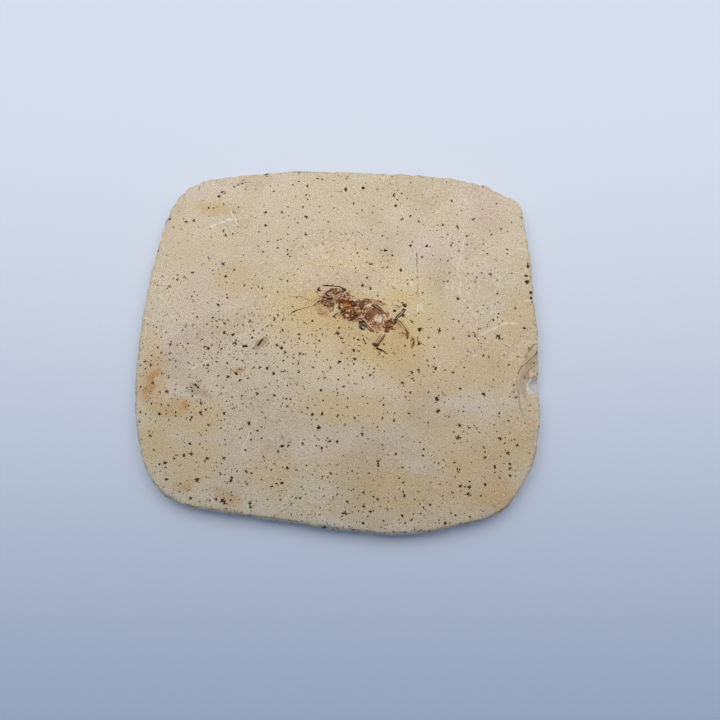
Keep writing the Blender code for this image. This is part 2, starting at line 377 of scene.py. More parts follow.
# %% Grain the stone
GRAIN_SIZE = 0.24
FLECK_SIZE = 0.5
FLECK_STRENGTH = 0.5
FLECKS = (  # a depth to sample at, the colour, and the noise levels between which it comes in
    (0.011, "#ecdfc6", (0.60, 0.74)), (0.023, "#bd9a62", (0.61, 0.75)),
)

grain = add(tree, "TexNoise", {"Vector": place, "Scale": 1 / (GRAIN_SIZE * MM), "Detail": 2.0})
shade = add(tree, "MapRange", {
    "Value": grain.outputs[0], "From Min": 0.3, "From Max": 0.7, "To Min": 0.70, "To Max": 1.26,
}).outputs[0]
colour = add(tree, "VectorMath", {"Vector": colour, "Scale": shade}, operation="SCALE").outputs[0]

for depth, colour_of_flecks, limits in FLECKS:
    crumbs = add(tree, "TexNoise", {
        "Vector": add(tree, "Mapping", {"Vector": place, "Location": (0, 0, depth)}).outputs[0],
        "Scale": 1 / (FLECK_SIZE * MM), "Detail": 1.0,
    })
    colour = add(tree, "Mix", {
        "Factor_Float": add(tree, "MapRange", {
            "Value": crumbs.outputs[0], "From Min": limits[0], "From Max": limits[1],
            "To Max": FLECK_STRENGTH,
        }).outputs[0],
        "A_Color": colour, "B_Color": colour_of_flecks,
    }, data_type="RGBA").outputs[2]
print("kinds of crumbs:", len(FLECKS))

# %% [markdown]
# ### Freckles
#
# Dark minerals grew from many points in the stone. A Voronoi cell gives each freckle its point, and
# the cell's random colour says how large it grew, or whether it grew at all. More of them grow where
# they crowd. Their outlines are ragged. What is worked out first is how far each place lies inside a
# freckle, and the colour comes last, so that listed marks can join in between.

# %% Scatter the freckles
FRECKLES = (  # how far apart, and the radius of the largest
    (0.80, 0.17), (1.12, 0.25), (1.8, 0.40), (4.4, 0.55),
)
CROWDING = 0.50  # the share of the possible freckles that are there
CROWDS = (  # where there are more: x, y, half lengths, turn, and the share added in the middle
    (-10, -1, 60, 16, 2, 0.42), (-4, -38, 56, 20, -4, 0.5), (-33, -16, 22, 30, 0, 0.2),
    (-20, 0, 18, 10, -10, 0.2),
)
FRECKLE_RAG = 0.5  # how far a freckle's outline wanders, as a share of its radius
RAG_SIZE = 0.30

crowded = CROWDING
for x, y, half_x, half_y, turn, share in CROWDS:
    spot = patch(tree, place, x, y, half_x, half_y, turn)
    crowded = add(tree, "Math", {
        "Value": spot, "Value_001": share, "Value_002": crowded,
    }, operation="MULTIPLY_ADD").outputs[0]
rag = add(tree, "TexNoise", {"Vector": place, "Scale": 1 / (RAG_SIZE * MM), "Detail": 1.0})
wander = add(tree, "MapRange", {
    "Value": rag.outputs[0], "From Min": 0.32, "From Max": 0.68,
    "To Min": -FRECKLE_RAG, "To Max": FRECKLE_RAG,
}).outputs[0]
freckled = 0.0
for apart, radius in FRECKLES:
    seed = add(tree, "TexVoronoi", {"Vector": place, "Scale": 1 / (apart * MM)})
    chance = add(tree, "SeparateColor", {"Color": seed.outputs["Color"]}).outputs[0]
    spare = add(tree, "Math", {"Value": crowded, "Value_001": chance}, operation="SUBTRACT")
    size = add(tree, "MapRange", {
        "Value": spare.outputs[0], "From Max": 0.35, "To Min": -0.55, "To Max": 0.88,
    }).outputs[0]
    ragged = add(tree, "Math", {"Value": size, "Value_001": wander}, operation="ADD").outputs[0]
    reach = add(tree, "Math", {"Value": ragged, "Value_001": radius}, operation="MULTIPLY").outputs[0]
    inside = add(tree, "Math", {
        "Value": seed.outputs["Distance"], "Value_001": -apart, "Value_002": reach,
    }, operation="MULTIPLY_ADD").outputs[0]
    freckled = add(tree, "Math", {
        "Value": inside, "Value_001": freckled,
    }, operation="MAXIMUM").outputs[0]
print("sizes of freckles:", len(FRECKLES))

# %% [markdown]
# ### Blots and a crack
#
# A few of the largest grains stand at the right edge and to the left of the insect, and a fine dark
# crack lies beyond its tail. These have places and shapes of their own, so each one is a spot.

# %% Place the blots and colour the freckles
BLOT_WARP = (0.5, 0.35)
BLOT_HEIGHT = 0.15  # how strong a blot is in its middle, on the freckles' scale
# The largest grains of dark mineral, and a fine crack: x, y, half lengths in x and y, turn.
BLOTS = """
42.8 19 .3 .6 20
42.4 16.8 .55 .32 0
42.6 15.5 .65 .38 -10
43.3 13.1 .25 .38 0
43.4 11.8 .28 .45 20
43.6 11 .28 .25 0
-17 1.9 .3 1.3 -35
-22.3 -5.2 .55 .35 -30
-20.4 1 .75 .35 -10
-31 -8 .9 .25 -40
13.2 32.9 .4 .3 0
5.9 37 .45 .4 0
34.8 -25.8 .35 .5 0
-12 -21.2 .6 .3 20
17.95 20.5 .11 1.9 0
18 17.2 .08 1.4 0
18.1 13.6 .07 1.8 0
"""

jagged = warped(tree, place, *BLOT_WARP)
for x, y, half_x, half_y, turn in rows(BLOTS):
    spot = patch(tree, jagged, x, y, half_x, half_y, turn)
    inside = add(tree, "Math", {"Value": spot, "Value_001": BLOT_HEIGHT}, operation="MULTIPLY")
    freckled = add(tree, "Math", {
        "Value": inside.outputs[0], "Value_001": freckled,
    }, operation="MAXIMUM").outputs[0]
colour = add(tree, "Mix", {
    "Factor_Float": add(tree, "MapRange", {
        "Value": freckled, "From Max": 0.035, "To Max": 0.97,
    }).outputs[0],
    "A_Color": colour, "B_Color": "#341700",
}, data_type="RGBA").outputs[2]
print("blots:", len(rows(BLOTS)))

# %% [markdown]
# ### Scratches
#
# The tool that cleaned the face left a few pale, shallow scratches, which are long, narrow spots.
# They are the one mark that the bump shows, together with the grain.

# %% Scratch the stone
SCRATCH_WARP = (1.2, 0.22)
# Each scratch: x, y, its length, turn in degrees, and width.
SCRATCHES = """
28.3 23.8 5.1 -103 .2
27.4 19.7 5.3 -103 .2
27.3 16.9 2.2 -64 .2
27.5 13.9 5.4 -95 .2
25.9 14.6 3.7 -91 .18
24.6 14.6 2 -91 .18
33 4 3.1 27 .34
35.3 5.1 3.1 27 .34
37.4 6 2.5 16 .34
39.4 6.1 2.8 -7 .34
41.9 22.9 3.2 -7 .22
42.7 11.2 2.5 7 .24
-31.6 -3.6 2.8 29 .17
-29.4 -2.6 3.2 20 .17
-20.4 -21 2.4 64 .2
-19.5 -19 3 66 .2
-11.4 -7.5 3.3 88 .2
-28.1 28.3 3 21 .26
-26 29.1 2.5 18 .26
-24.2 29.7 2.2 10 .34
-23.7 31 2.3 -70 .3
-22.8 29.6 2.3 -72 .28
18.1 9.7 2.8 -87 .3
18.8 9.8 2.9 -65 .3
16.7 15.1 1.8 -71 .26
30.7 -1.1 1.9 -153 .18
-14.4 -19.5 2.1 -23 .16
"""

uneven = warped(tree, place, *SCRATCH_WARP)
scratched = 0.0
for x, y, length, turn, width in rows(SCRATCHES):
    spot = patch(tree, uneven, x, y, length / 2, width, turn)
    scratched = add(tree, "Math", {
        "Value": spot, "Value_001": scratched,
    }, operation="MAXIMUM").outputs[0]
scratched = add(tree, "MapRange", {"Value": scratched, "From Max": 0.4, "To Max": 0.85}).outputs[0]
colour = add(tree, "Mix", {
    "Factor_Float": scratched, "A_Color": colour, "B_Color": "#ece3d2",
}, data_type="RGBA").outputs[2]
print("scratches:", len(rows(SCRATCHES)))

# %% [markdown]
# ### The group's results
#
# The group gives the colour, and a height for the bump in which the grain stands up and the
# scratches are sunk.

# %% Finish the group
height = add(tree, "Math", {
    "Value": grain.outputs[0], "Value_001": scratched,
}, operation="SUBTRACT").outputs[0]
result = tree.nodes.new("NodeGroupOutput")
tree.links.new(colour, result.inputs["Color"])
tree.links.new(height, result.inputs["Height"])
limestone = tree
print("limestone nodes:", len(limestone.nodes))

# %% [markdown]
# ## A brush for what is drawn one by one
#
# Some marks have a shape of their own: the crushed insect, and the flake scar on the slab's right
# side. They could be textures, but then they would be flat from the side, and each stroke would
# need several nodes. So they are laid on points of the mesh as paint is laid on a canvas: a wash
# for a plate, a line for a leg, a ring, a net for wrinkles and a mottle for crumbled shell. A
# stroke carries a pigment, and a thickness that lifts the skin.
#
# The strokes of one part are a table, with a row for each: its kind, its pigment and its strength,
# and then its lengths in millimetres. For a wash these are x, y, the two half lengths and a turn in
# degrees. A net adds the size of its cells, and a mottle the share that it covers. A line starts
# with its width, and then has its points. A ring has its width, x, y and radius.

# %% Name the pigments
PIGMENTS = {  # colour, and the thickness of a full coat in millimetres
    "tar": ("#270e00", 0.063),
    "umber": ("#4c2004", 0.050),
    "rust": ("#70350f", 0.041),
    "rustier": ("#8a5024", 0.045),
    "amber": ("#96632f", 0.054),
    "honey": ("#b37a3a", 0.045),
    "sheet": ("#845424", 0.032),
    "olive": ("#735a2e", 0.027),
    "slate": ("#6a4530", 0.032),
    "plum": ("#462a1c", 0.054),
    "dusk": ("#895b3e", 0.027),
    "taupe": ("#a07a5c", 0.023),
    "lilac": ("#bfa392", 0.013),
    "rose": ("#dab494", 0.013),
    "tan": ("#b48c60", 0.013),
    "bone": ("#e0c6a0", 0.009),
    "ash": ("#b0a08c", 0.014),
    "straw": ("#cdb27c", 0.014),
    # mist is painted light, for the lit notch of the flake scar
    "mist": ("#dcd8d8", 0.014),
    "chalk": ("#ecd9c2", 0.013),
}
print("pigments:", ", ".join(PIGMENTS))

# %% [markdown]
# ### The brush
#
# One class keeps the paint of one piece: how much of the stone is covered, in what colour and how
# thickly. Smooth noise makes a stroke's outline ragged, as a crushed shell's is, and each stroke
# covers a share of what lies beneath it. The strokes are calculated here and not in nodes, because
# the relief needs the same numbers as the colour.

# %% Make the brush
EDGE = 0.10  # the soft edge of a stroke, in millimetres
RAGGED = 0.42  # how far the outline of a wash wanders
SHAKE = 0.10  # how far the outline of a line wanders
RAGGED_SHARE, SHAKE_SHARE = 0.6, 0.4  # the same as shares of a narrow stroke
SOFT_SHARE = 0.16  # the soft edge of a large wash, as a share of its half width
THREAD = 1.15  # the width of a net's threads, in edges
CRUMB = 0.33  # the size of a mottle's crumbs
CRUMB_LEVELS, CRUMB_SOFT = 0.8, 0.14  # how the share sets the noise level, and the crumbs' edge
LEAST_COVER = 0.01


class Film:
    """The paint on one piece's grid of points. Lengths are in millimetres."""

    def __init__(self, places):
        self.places = places
        self.cover = np.zeros(len(places))
        self.paint = np.zeros((len(places), 3))
        self.thickness = np.zeros(len(places))
        self.outline = self.grain(0.9, 3.0) + 0.7 * self.grain(0.35, 8.0)

    def grain(self, size, seed, where=None):
        """Smooth noise from about -1 to 1, at the places asked for."""
        places = self.places if where is None else self.places[where]
        return np.array([noise.noise(Vector((x / size, y / size, seed))) for x, y in places])

    def lay(self, pigment, strength, mask):
        """Lays one coat of a pigment over what is there."""
        colour, thickness = PIGMENTS[pigment]
        share = np.clip(mask, 0, 1) * strength
        self.cover = self.cover * (1 - share) + share
        self.paint = self.paint * (1 - share[:, None]) + np.outer(share, linear(colour))
        self.thickness = self.thickness * (1 - share) + share * thickness

    def oval(self, middle, half, turn):
        """1 inside an oval with a ragged edge, and 0 outside it."""
        along, across = turned(self.places, middle, half, turn)
        narrow = min(half)
        wander = min(RAGGED, narrow * RAGGED_SHARE) * self.outline
        soft = max(EDGE, narrow * SOFT_SHARE)
        return np.clip(0.5 + ((1 - np.hypot(along, across)) * narrow + wander) / soft, 0, 1)

    def distance(self, points):
        """How far each place is from a line through the points."""
        nearest = np.full(len(self.places), np.inf)
        for start, end in zip(points, points[1:]):
            start, run = np.array(start), np.array(end) - np.array(start)
            share = np.clip((self.places - start) @ run / (run @ run), 0, 1)
            gap = np.linalg.norm(self.places - start - np.outer(share, run), axis=1)
            nearest = np.minimum(nearest, gap)
        return nearest

    def wash(self, pigment, strength, middle, half, turn=0):
        """A plate or a stain."""
        self.lay(pigment, strength, self.oval(middle, half, turn))

    def line(self, pigment, strength, width, points):
        """A leg, a vein or a broken edge."""
        wander = min(SHAKE, width * SHAKE_SHARE) * self.outline
        self.lay(pigment, strength, 0.5 + (width / 2 + wander - self.distance(points)) / EDGE)

    def ring(self, pigment, strength, width, middle, radius):
        """A round joint or opening."""
        gap = np.abs(np.linalg.norm(self.places - np.array(middle), axis=1) - radius)
        self.lay(pigment, strength, 0.5 + (width / 2 - gap + SHAKE * self.outline) / EDGE)

    def net(self, pigment, strength, middle, half, turn, size):
        """The outlines of many small, unlike cells, inside an oval."""
        mask = self.oval(middle, half, turn)
        where = np.flatnonzero(mask)
        for number in where:
            x, y = self.places[number]
            gaps = noise.voronoi(Vector((x / size, y / size, 1.7)))[0]
            mask[number] *= min(1.0, max(0.0, THREAD - (gaps[1] - gaps[0]) * size / EDGE))
        self.lay(pigment, strength, mask)

    def mottle(self, pigment, strength, middle, half, turn, share):
        """Crumbs of a pigment, over about this share of an oval."""
        mask = self.oval(middle, half, turn)
        where = np.flatnonzero(mask)
        crumbs = self.grain(CRUMB, 11.0 * share + len(pigment), where)
        level = (0.5 - share) * CRUMB_LEVELS
        mask[where] *= np.clip(0.5 + (crumbs - level) / CRUMB_SOFT, 0, 1)
        self.lay(pigment, strength, mask)

    def draw(self, strokes):
        """Lays a table of strokes."""
        for kind, pigment, strength, *sizes in rows(strokes):
            if kind == "line":
                self.line(pigment, strength, sizes[0], list(zip(sizes[1::2], sizes[2::2])))
            elif kind == "ring":
                self.ring(pigment, strength, sizes[0], sizes[1:3], sizes[3])
            else:
                oval = {"wash": self.wash, "net": self.net, "mottle": self.mottle}[kind]
                oval(pigment, strength, sizes[:2], sizes[2:4], *sizes[4:])

    def solid(self):
        """The colour of the paint where it covers the stone wholly."""
        return self.paint / np.maximum(self.cover, LEAST_COVER)[:, None]


def store_paint(mesh, paint, cover):
    """Keeps each point's paint, and how much it covers, for the shaders."""
    mesh.attributes.new("paint", "FLOAT_COLOR", "POINT")
    mesh.attributes["paint"].data.foreach_set("color", np.c_[paint, np.ones(len(paint))].ravel())
    mesh.attributes.new("cover", "FLOAT", "POINT")
    mesh.attributes["cover"].data.foreach_set("value", cover)


print("the brush can:", [name for name in vars(Film) if not name.startswith("_")])

# %% [markdown]
# ### The slab's material
#
# Chalky stone is rough and has hardly any gloss. Its colour comes from the limestone group, and the
# paint of the scar and the rim is mixed over it by each point's cover. The grain and the scratches
# are a bump, as they are too fine for the mesh.

# %% Make the slab's material
GRAIN_DEPTH = 0.05 * MM
STONE_ROUGH = 0.88  # chalky, so it has no gloss at all

quarried_limestone = bpy.data.materials.new("quarried_limestone")
quarried_limestone.use_nodes = True
stone_tree = quarried_limestone.node_tree
stone = add(stone_tree, "Group", {}, node_tree=limestone)
stone_shader = stone_tree.nodes["Principled BSDF"]
stone_shader.inputs["Roughness"].default_value = STONE_ROUGH
stone_shader.inputs["IOR"].default_value = 1.5
stone_shader.inputs["Specular IOR Level"].default_value = 0.3
stone_drawn = add(stone_tree, "Mix", {
    "Factor_Float": add(stone_tree, "Attribute", {}, attribute_name="cover").outputs["Fac"],
    "A_Color": stone.outputs["Color"],
    "B_Color": add(stone_tree, "Attribute", {}, attribute_name="paint").outputs["Color"],
}, data_type="RGBA").outputs[2]
stone_tree.links.new(stone_drawn, stone_shader.inputs["Base Color"])
stone_bump = add(stone_tree, "Bump", {"Height": stone.outputs["Height"], "Distance": GRAIN_DEPTH})
stone_tree.links.new(stone_bump.outputs[0], stone_shader.inputs["Normal"])
print("material:", quarried_limestone.name)

# %% [markdown]
# ## The slab
#
# The packed slab has the right outline, beds and scars, with few faces. Its moulds for the insect
# are lifted level with the face, because the skin lies on the stone, and the whole is remeshed in
# small, even faces. A stone has no flat or regular part to extrude, so its break is made as a
# sculptor would: each point is pushed by a rule.

# %% Copy the slab and even it out
VOXEL = 0.56 * MM
MOULD_LOW, MOULD_HIGH = Vector((-11, -3)) * MM, Vector((18, 16)) * MM
MOULD_DEPTH = 0.6 * MM
HAIR = 0.001 * MM  # two points that are closer than this are one


def select_parts(mesh, kind, chosen):
    """Goes into edit mode with exactly the chosen points or faces of the active mesh selected."""
    bpy.ops.object.mode_set(mode="EDIT")
    bpy.ops.mesh.select_mode(type=kind)
    bpy.ops.mesh.select_all(action="DESELECT")
    bpy.ops.object.mode_set(mode="OBJECT")
    parts = {"VERT": mesh.vertices, "FACE": mesh.polygons}[kind]
    parts.foreach_set("select", np.array(chosen, dtype=bool))
    bpy.ops.object.mode_set(mode="EDIT")


def in_mould(face):
    middle = face.center
    sunk = FACE * MM - middle.z
    inside = MOULD_LOW.x < middle.x < MOULD_HIGH.x and MOULD_LOW.y < middle.y < MOULD_HIGH.y
    return inside and HAIR < sunk < MOULD_DEPTH


cad_slab = frame["nodes"]["limestone_slab"]
slab = bpy.data.objects.new("stone_slab", cad_slab.data.copy())
bpy.context.scene.collection.objects.link(slab)
slab.data.materials.clear()
slab.data.materials.append(quarried_limestone)
bpy.ops.object.select_all(action="DESELECT")
slab.select_set(True)
bpy.context.view_layer.objects.active = slab
bpy.ops.object.mode_set(mode="EDIT")
bpy.ops.mesh.select_all(action="SELECT")
bpy.ops.mesh.remove_doubles(threshold=HAIR)
bpy.ops.object.mode_set(mode="OBJECT")
select_parts(slab.data, "FACE", [in_mould(face) for face in slab.data.polygons])
bpy.ops.transform.resize(value=(1, 1, 0), center_override=(0, 0, FACE * MM))
bpy.ops.object.mode_set(mode="OBJECT")
remesh = slab.modifiers.new("even faces", "REMESH")
remesh.mode = "VOXEL"
remesh.voxel_size = VOXEL
bpy.ops.object.modifier_apply(modifier=remesh.name)
print("remeshed faces:", len(slab.data.polygons))

# %% [markdown]
# ### Finer faces where they are needed
#
# The wall and rim carry the thin layers, and the flake scar carries painted lines, so both are
# divided. The underside is a sawn plane that shows nothing, so its faces are merged into one.

# %% Divide the wall, the rim and the flake scar
STEEP = 0.9  # a face whose normal leans more than this belongs to the wall
RIM_RINGS = 3
SCAR_LOW, SCAR_HIGH = Vector((36.0, -22.5, 6.5)) * MM, Vector((46.0, 6.5, 8.0)) * MM
SCAR_CUTS = 2
UNDERSIDE = 0.02 * MM
LEVEL = 0.999  # a face whose normal leans less than this is level

select_parts(slab.data, "FACE", [abs(face.normal.z) < STEEP for face in slab.data.polygons])
for ring in range(RIM_RINGS):
    bpy.ops.mesh.select_more()
bpy.ops.mesh.subdivide(number_cuts=1)
bpy.ops.object.mode_set(mode="OBJECT")
select_parts(slab.data, "FACE", [
    face.center.z < UNDERSIDE and face.normal.z < -LEVEL for face in slab.data.polygons
])
bpy.ops.mesh.dissolve_faces()
bpy.ops.object.mode_set(mode="OBJECT")
print("faces with the rim divided:", len(slab.data.polygons))

for cut in range(SCAR_CUTS):
    select_parts(slab.data, "FACE", [
        all(low < place < high for low, place, high in zip(SCAR_LOW, face.center, SCAR_HIGH))
        for face in slab.data.polygons
    ])
    bpy.ops.mesh.subdivide(number_cuts=1)
    bpy.ops.object.mode_set(mode="OBJECT")
slab.data.calc_loop_triangles()
print("faces with the scar divided:", len(slab.data.polygons))
print("triangles:", len(slab.data.loop_triangles))

# %% [markdown]
# ### Breaking the wall
#
# A hammered edge of laminated stone breaks layer by layer. Each thin layer stands a little in or out
# of its neighbours, and by a different amount along the wall. The upper face isn't a plane either:
# it rises and falls by a tenth of a millimetre. The same rule later lifts the insect's skin, so the
# two stay together. Where a rule asks for noise in the plane, the third coordinate is only a seed.

# %% Make the rules for the slab's points
LAYER = 0.62  # the mean thickness of a layer, in millimetres
LAYER_SAG, SAG_SIZE = 0.35, 7  # how many layers a bed wanders up or down, and over what length
UNEVEN, UNEVEN_PACE = 0.3, 2.3  # how the layers' thickness changes on the way up
LAYER_REACH = 0.40  # how far layers stand in or out
RAGGED_SIZE, BROAD_SIZE = 2.2, 9  # how long the chips and the broad waves in a layer's edge are
WALL_GRAIN, WALL_GRAIN_SIZE = 0.07, 0.5
WALL_FROM, WALL_FADE = 1.5, 1.8  # how much a point is of the wall, by how level its normal is
SWELL = 0.10  # the rise and fall of the upper face
SWELL_SIZE = 15
SCAR = (46.3, -7.6, 9.7, 13.8)  # the flake scar's middle and half lengths
SCAR_STEP = 0.16  # how far the scar lies below the face along its edge
STEP_WIDTH = 0.3
STEP_WAVES = 1.5  # the size of the waves in the step's line
RIPPLE = 0.05
RIPPLE_APART = 1.15
RIPPLE_BEND, BEND_SIZE = 0.8, 3  # how many ripples one is bent by, and over what length
RIPPLES_FROM = 0.35  # the share of the scar's reach at which the ripples begin
WEAR = 0.45  # how deep the rim is worn
WEAR_SHARE, WEAR_SIZE = 0.25, 1.7  # the wear that is everywhere, and the size of the worn places
WEAR_DEPTH = 2  # how far down the wall the wear goes


def swell(x, y):
    """How far the upper face stands above its mean level, in millimetres."""
    return SWELL * noise.noise(Vector((x, y, 4.0)) / SWELL_SIZE)


def layer_offset(x, y, z):
    """How far the wall stands out at a place, by the layer that it is in."""
    level = z / LAYER + LAYER_SAG * noise.noise(Vector((x, y, 0)) / SAG_SIZE)
    layer = math.floor(level + UNEVEN * math.sin(UNEVEN_PACE * level))
    ragged = noise.noise(Vector((x / RAGGED_SIZE, y / RAGGED_SIZE, 7.3 * layer)))
    broad = noise.noise(Vector((x / BROAD_SIZE, y / BROAD_SIZE, 3.1 * layer)))
    return LAYER_REACH * (ragged + broad)


def scar_reach(x, y):
    """0 in the middle of the scar, and 1 on its edge."""
    return math.hypot((x - SCAR[0]) / SCAR[2], (y - SCAR[1]) / SCAR[3])


def scar_step(x, y):
    """The low step along the scar's edge."""
    depth = (1 - scar_reach(x, y)) * SCAR[2]
    depth += STEP_WIDTH * noise.noise(Vector((x, y, 2)) / STEP_WAVES)
    return -SCAR_STEP * min(1.0, max(0.0, depth / STEP_WIDTH))


def ripple(x, y):
    """The shell-like ripples that the flake left in its scar."""
    reach = scar_reach(x, y)
    if not RIPPLES_FROM < reach < 1.0:
        return 0.0
    bent = reach * SCAR[2] / RIPPLE_APART
    bent += RIPPLE_BEND * noise.noise(Vector((x, y, 9)) / BEND_SIZE)
    fade = math.sin(math.pi * (reach - RIPPLES_FROM) / (1 - RIPPLES_FROM))
    return RIPPLE * math.sin(2 * math.pi * bent) * fade


def shape_point(place, normal):
    """The new place of a point of the slab, in millimetres."""
    x, y, z = place
    wall = min(1.0, max(0.0, WALL_FROM - WALL_FADE * abs(normal.z)))
    outwards = Vector((normal.x, normal.y, 0))
    if wall > 0 and outwards.length > 0:
        grain = WALL_GRAIN * noise.noise(place / WALL_GRAIN_SIZE)
        place = place + outwards.normalized() * wall * (layer_offset(x, y, z) + grain)
    if normal.z > 0.5 and z > FACE / 2:
        place.z += swell(x, y) + ripple(x, y) + scar_step(x, y)
    if wall > 0 and z > FACE - WEAR_DEPTH:
        place.z -= WEAR * wall * max(0.0, WEAR_SHARE + noise.noise(Vector((x, y, 5)) / WEAR_SIZE))
    place.z = max(place.z, 0.0)
    return place


print("the swell at the middle, mm:", round(swell(0, 0), 3))

# %% [markdown]
# ### The flake scar
#
# A blow on the right side took off a wide, thin flake, and a smaller one above it. The break is
# greyer and pinker than the face. Dark lines along its edges and ripples are painted shade, pale lines
# beside them are painted highlights, and the notch in its middle is washed pale: painted light.

# %% List the scar's strokes
# Painted light and shade: the mist washes are painted light in the notch, the pale bone and rose lines
# are painted highlights on the crests, and the dark lines are painted shade along the steps and
# ripples.
SCAR_STROKES = """
wash ash .42 42.78 -3.49 .98 3.02 -28
wash ash .35 41.45 -7.15 1.27 3.02
wash ash .35 43.3 -.62 .6 1.75 -28
wash lilac .2 41.76 -6.99 .95 2.7
wash straw .35 43.09 -12.38 1.43 2.38 20
wash rose .35 43.02 -16.32 .95 1.75 20
mottle taupe .35 42.42 -5.72 1.75 4.44 -10 .3
wash mist .95 43.89 -7.86 1.83 1.59
wash mist .6 43 -8.9 .95 .95
line bone .5 .25  44.43 .18  43.46 -.86  42.64 -2.05  41.68 -2.93
line umber .7 .22  44.65 1.54  43.98 1.34  43.33 .69  42.76 -.06  42.11 -.9
  41.86 -1.58  42.04 -2.05  42.26 -2.09
line taupe .45 .32  43.65 .82  42.91 -.22  42.34 -1.1  42.14 -1.73
line umber .7 .22  44.61 -.42  43.61 -1.42  42.8 -2.21  41.99 -3.04  41.19 -3.49
  40.62 -4.29  40.26 -5.32
line taupe .4 .14  44.6 -.97  43.6 -2.05  42.63 -2.93  41.82 -3.65
line umber .45 .21  40 -5.72  39.9 -6.99  39.98 -7.94  40.3 -9.37
  40.43 -10.8  40.38 -12.06  40.71 -13.17  41.24 -14.59
line rose .6 .21  40.36 -5.72  40.24 -6.99  40.32 -8.26  40.71 -9.53
line bone .6 .16  41.08 -14.59  41.77 -15.85  42.7 -16.95  43.55 -17.74
line dusk .4 .1  41.24 -14.75  41.77 -15.69  42.54 -16.72  43.32 -17.43
line rust .6 .13  44.38 -4.29  43.39 -4.92  42.77 -5.53  42.51 -6.2  42.72 -6.91
line dusk .6 .11  42.77 -3.81  42.56 -4.76  42.77 -5.48
line dusk .5 .11  43.37 -5.96  44 -5.88  44.35 -5.64
line taupe .5 .14  40.99 -5.72  40.81 -7.15  40.95 -8.58  41.15 -10.48
line taupe .55 .13  41.67 -10.48  42.48 -11.51  43.25 -12.54  44.21 -13.67
line rose .6 .16  42.92 -13.33  43.73 -13.67  44.55 -14.15
line ash .4 .25  41.7 -6.36  41.51 -7.94  41.72 -9.53
line umber .35 .16  44.32 -1.58  43.51 -2.37  42.78 -3.17  42.17 -3.81
line umber .3 .16  44.39 -2.05  43.66 -2.93  43.09 -3.65  42.36 -4.76  42.14 -5.72
line umber .4 .16  44.29 -3.09  43.56 -3.81  43 -4.45  43.22 -5.08
line bone .5 .13  41.99 -3.33  41.26 -3.97  40.69 -4.92  40.52 -5.72
line bone .4 .13  44.1 -.78  43.29 -1.58  42.56 -2.29
"""
print("strokes in the scar:", len(rows(SCAR_STROKES)))

# %% [markdown]
# ### The rim's painted highlight
#
# Along the rim, pale crumbs are a painted highlight where light catches the edge, and brown crumbs
# lie beside them. Both are painted on the points that lie within a millimetre of the wall, and they
# fade out on the way down it. The scar is painted after them, down to the depth of the break.

# %% Paint the scar and the rim
RIM_WIDTH = 1.0
RIM_FULL = 1.2  # more than 1, so that the crumbs are thickest along the wall
RIM_DEPTH = 1.6
BREAK_DEPTH = 2.8
SCAR_MARGIN = 2
FAR = 99.0
# chalk is a painted highlight where light catches the rim; dusk is brown crumbs
RIM_HIGHLIGHT_AND_CRUMBS = (  # the pigment, its strength, the size of its crumbs, a seed, and the level they start at
    ("chalk", 0.5, 1.1, 21.0, 0.12),
    ("dusk", 0.35, 0.9, 27.0, 0.25),
)
CRUMB_EDGE = 0.2

wall = kdtree.KDTree(len(slab.data.vertices))
for vertex in slab.data.vertices:
    if abs(vertex.normal.z) < 0.5 and vertex.co.z > FACE * MM / 2:
        wall.insert((vertex.co.x, vertex.co.y, 0), vertex.index)
wall.balance()
places = np.array([vertex.co[:] for vertex in slab.data.vertices]) / MM
from_wall = np.full(len(places), FAR)
for number, (x, y, z) in enumerate(places):
    from_wall[number] = wall.find((x * MM, y * MM, 0))[2] / MM
scarred = (places[:, 0] > SCAR_LOW.x / MM) & (places[:, 2] > SCAR_LOW.z / MM)
scarred &= np.abs(places[:, 1] - SCAR[1]) < SCAR[3] + SCAR_MARGIN
drawn = np.flatnonzero((from_wall < RIM_WIDTH) | scarred)
slab_film = Film(places[drawn, :2])
below_face = FACE - places[drawn, 2]
closeness = np.clip(RIM_FULL - from_wall[drawn] / RIM_WIDTH, 0, 1)
closeness *= 1 - np.clip(below_face / RIM_DEPTH, 0, 1)
for pigment, strength, size, seed, level in RIM_HIGHLIGHT_AND_CRUMBS:
    crumbs = np.clip((slab_film.grain(size, seed) - level) / CRUMB_EDGE, 0, 1)
    slab_film.lay(pigment, strength, closeness * crumbs)
slab_film.draw(SCAR_STROKES)
slab_cover = np.zeros(len(places))
sunk = np.clip(below_face / BREAK_DEPTH - 1, 0, 1)
slab_cover[drawn] = np.clip(slab_film.cover, 0, 1) * (1 - sunk)
slab_paint = np.ones((len(places), 3))
slab_paint[drawn] = slab_film.solid()
store_paint(slab.data, slab_paint, slab_cover)
print("painted points:", len(drawn), "of", len(places))

# %% [markdown]
# ### The break itself
#
# Last, each point is moved by the rules. All normals are read before the first point moves, because
# the rules ask which way the even slab faced there. Edges of more than 40 degrees stay sharp, as
# they do on broken stone.

# %% Push the slab's points
SHARPEST_SMOOTH = math.radians(40)

normals = [vertex.normal.copy() for vertex in slab.data.vertices]
for vertex, normal in zip(slab.data.vertices, normals):
    vertex.co = shape_point(vertex.co / MM, normal) * MM
bpy.ops.object.shade_smooth_by_angle(angle=SHARPEST_SMOOTH)
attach(slab, "root")
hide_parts("limestone_slab")
print("slab faces:", len(slab.data.polygons))

# %% [markdown]
# ## The insect's skin
#
# What is left of a fossil insect is a skin of iron minerals, a few hundredths of a millimetre thick:
# black-brown where the shell was thick, amber where it is glassy, mauve where it is thin, and
# chalky where it has flaked off. It also keeps some of the body's relief. Each piece is a fine grid
# of points, painted with the same brush, and points with no paint on them are then deleted.

# %% [markdown]
# ### The strokes
#
# Each part of the body has its own table, and is painted as it lies: broad washes first, then
# crumbs and nets, then the dark edges and small lights. The insect lies with its head to the left.

# %% [markdown]
# #### The head and the collar
#
# The head and the collar behind it are crumpled, so they are nets and crumbs with few lines. One
# front leg lies along the collar.

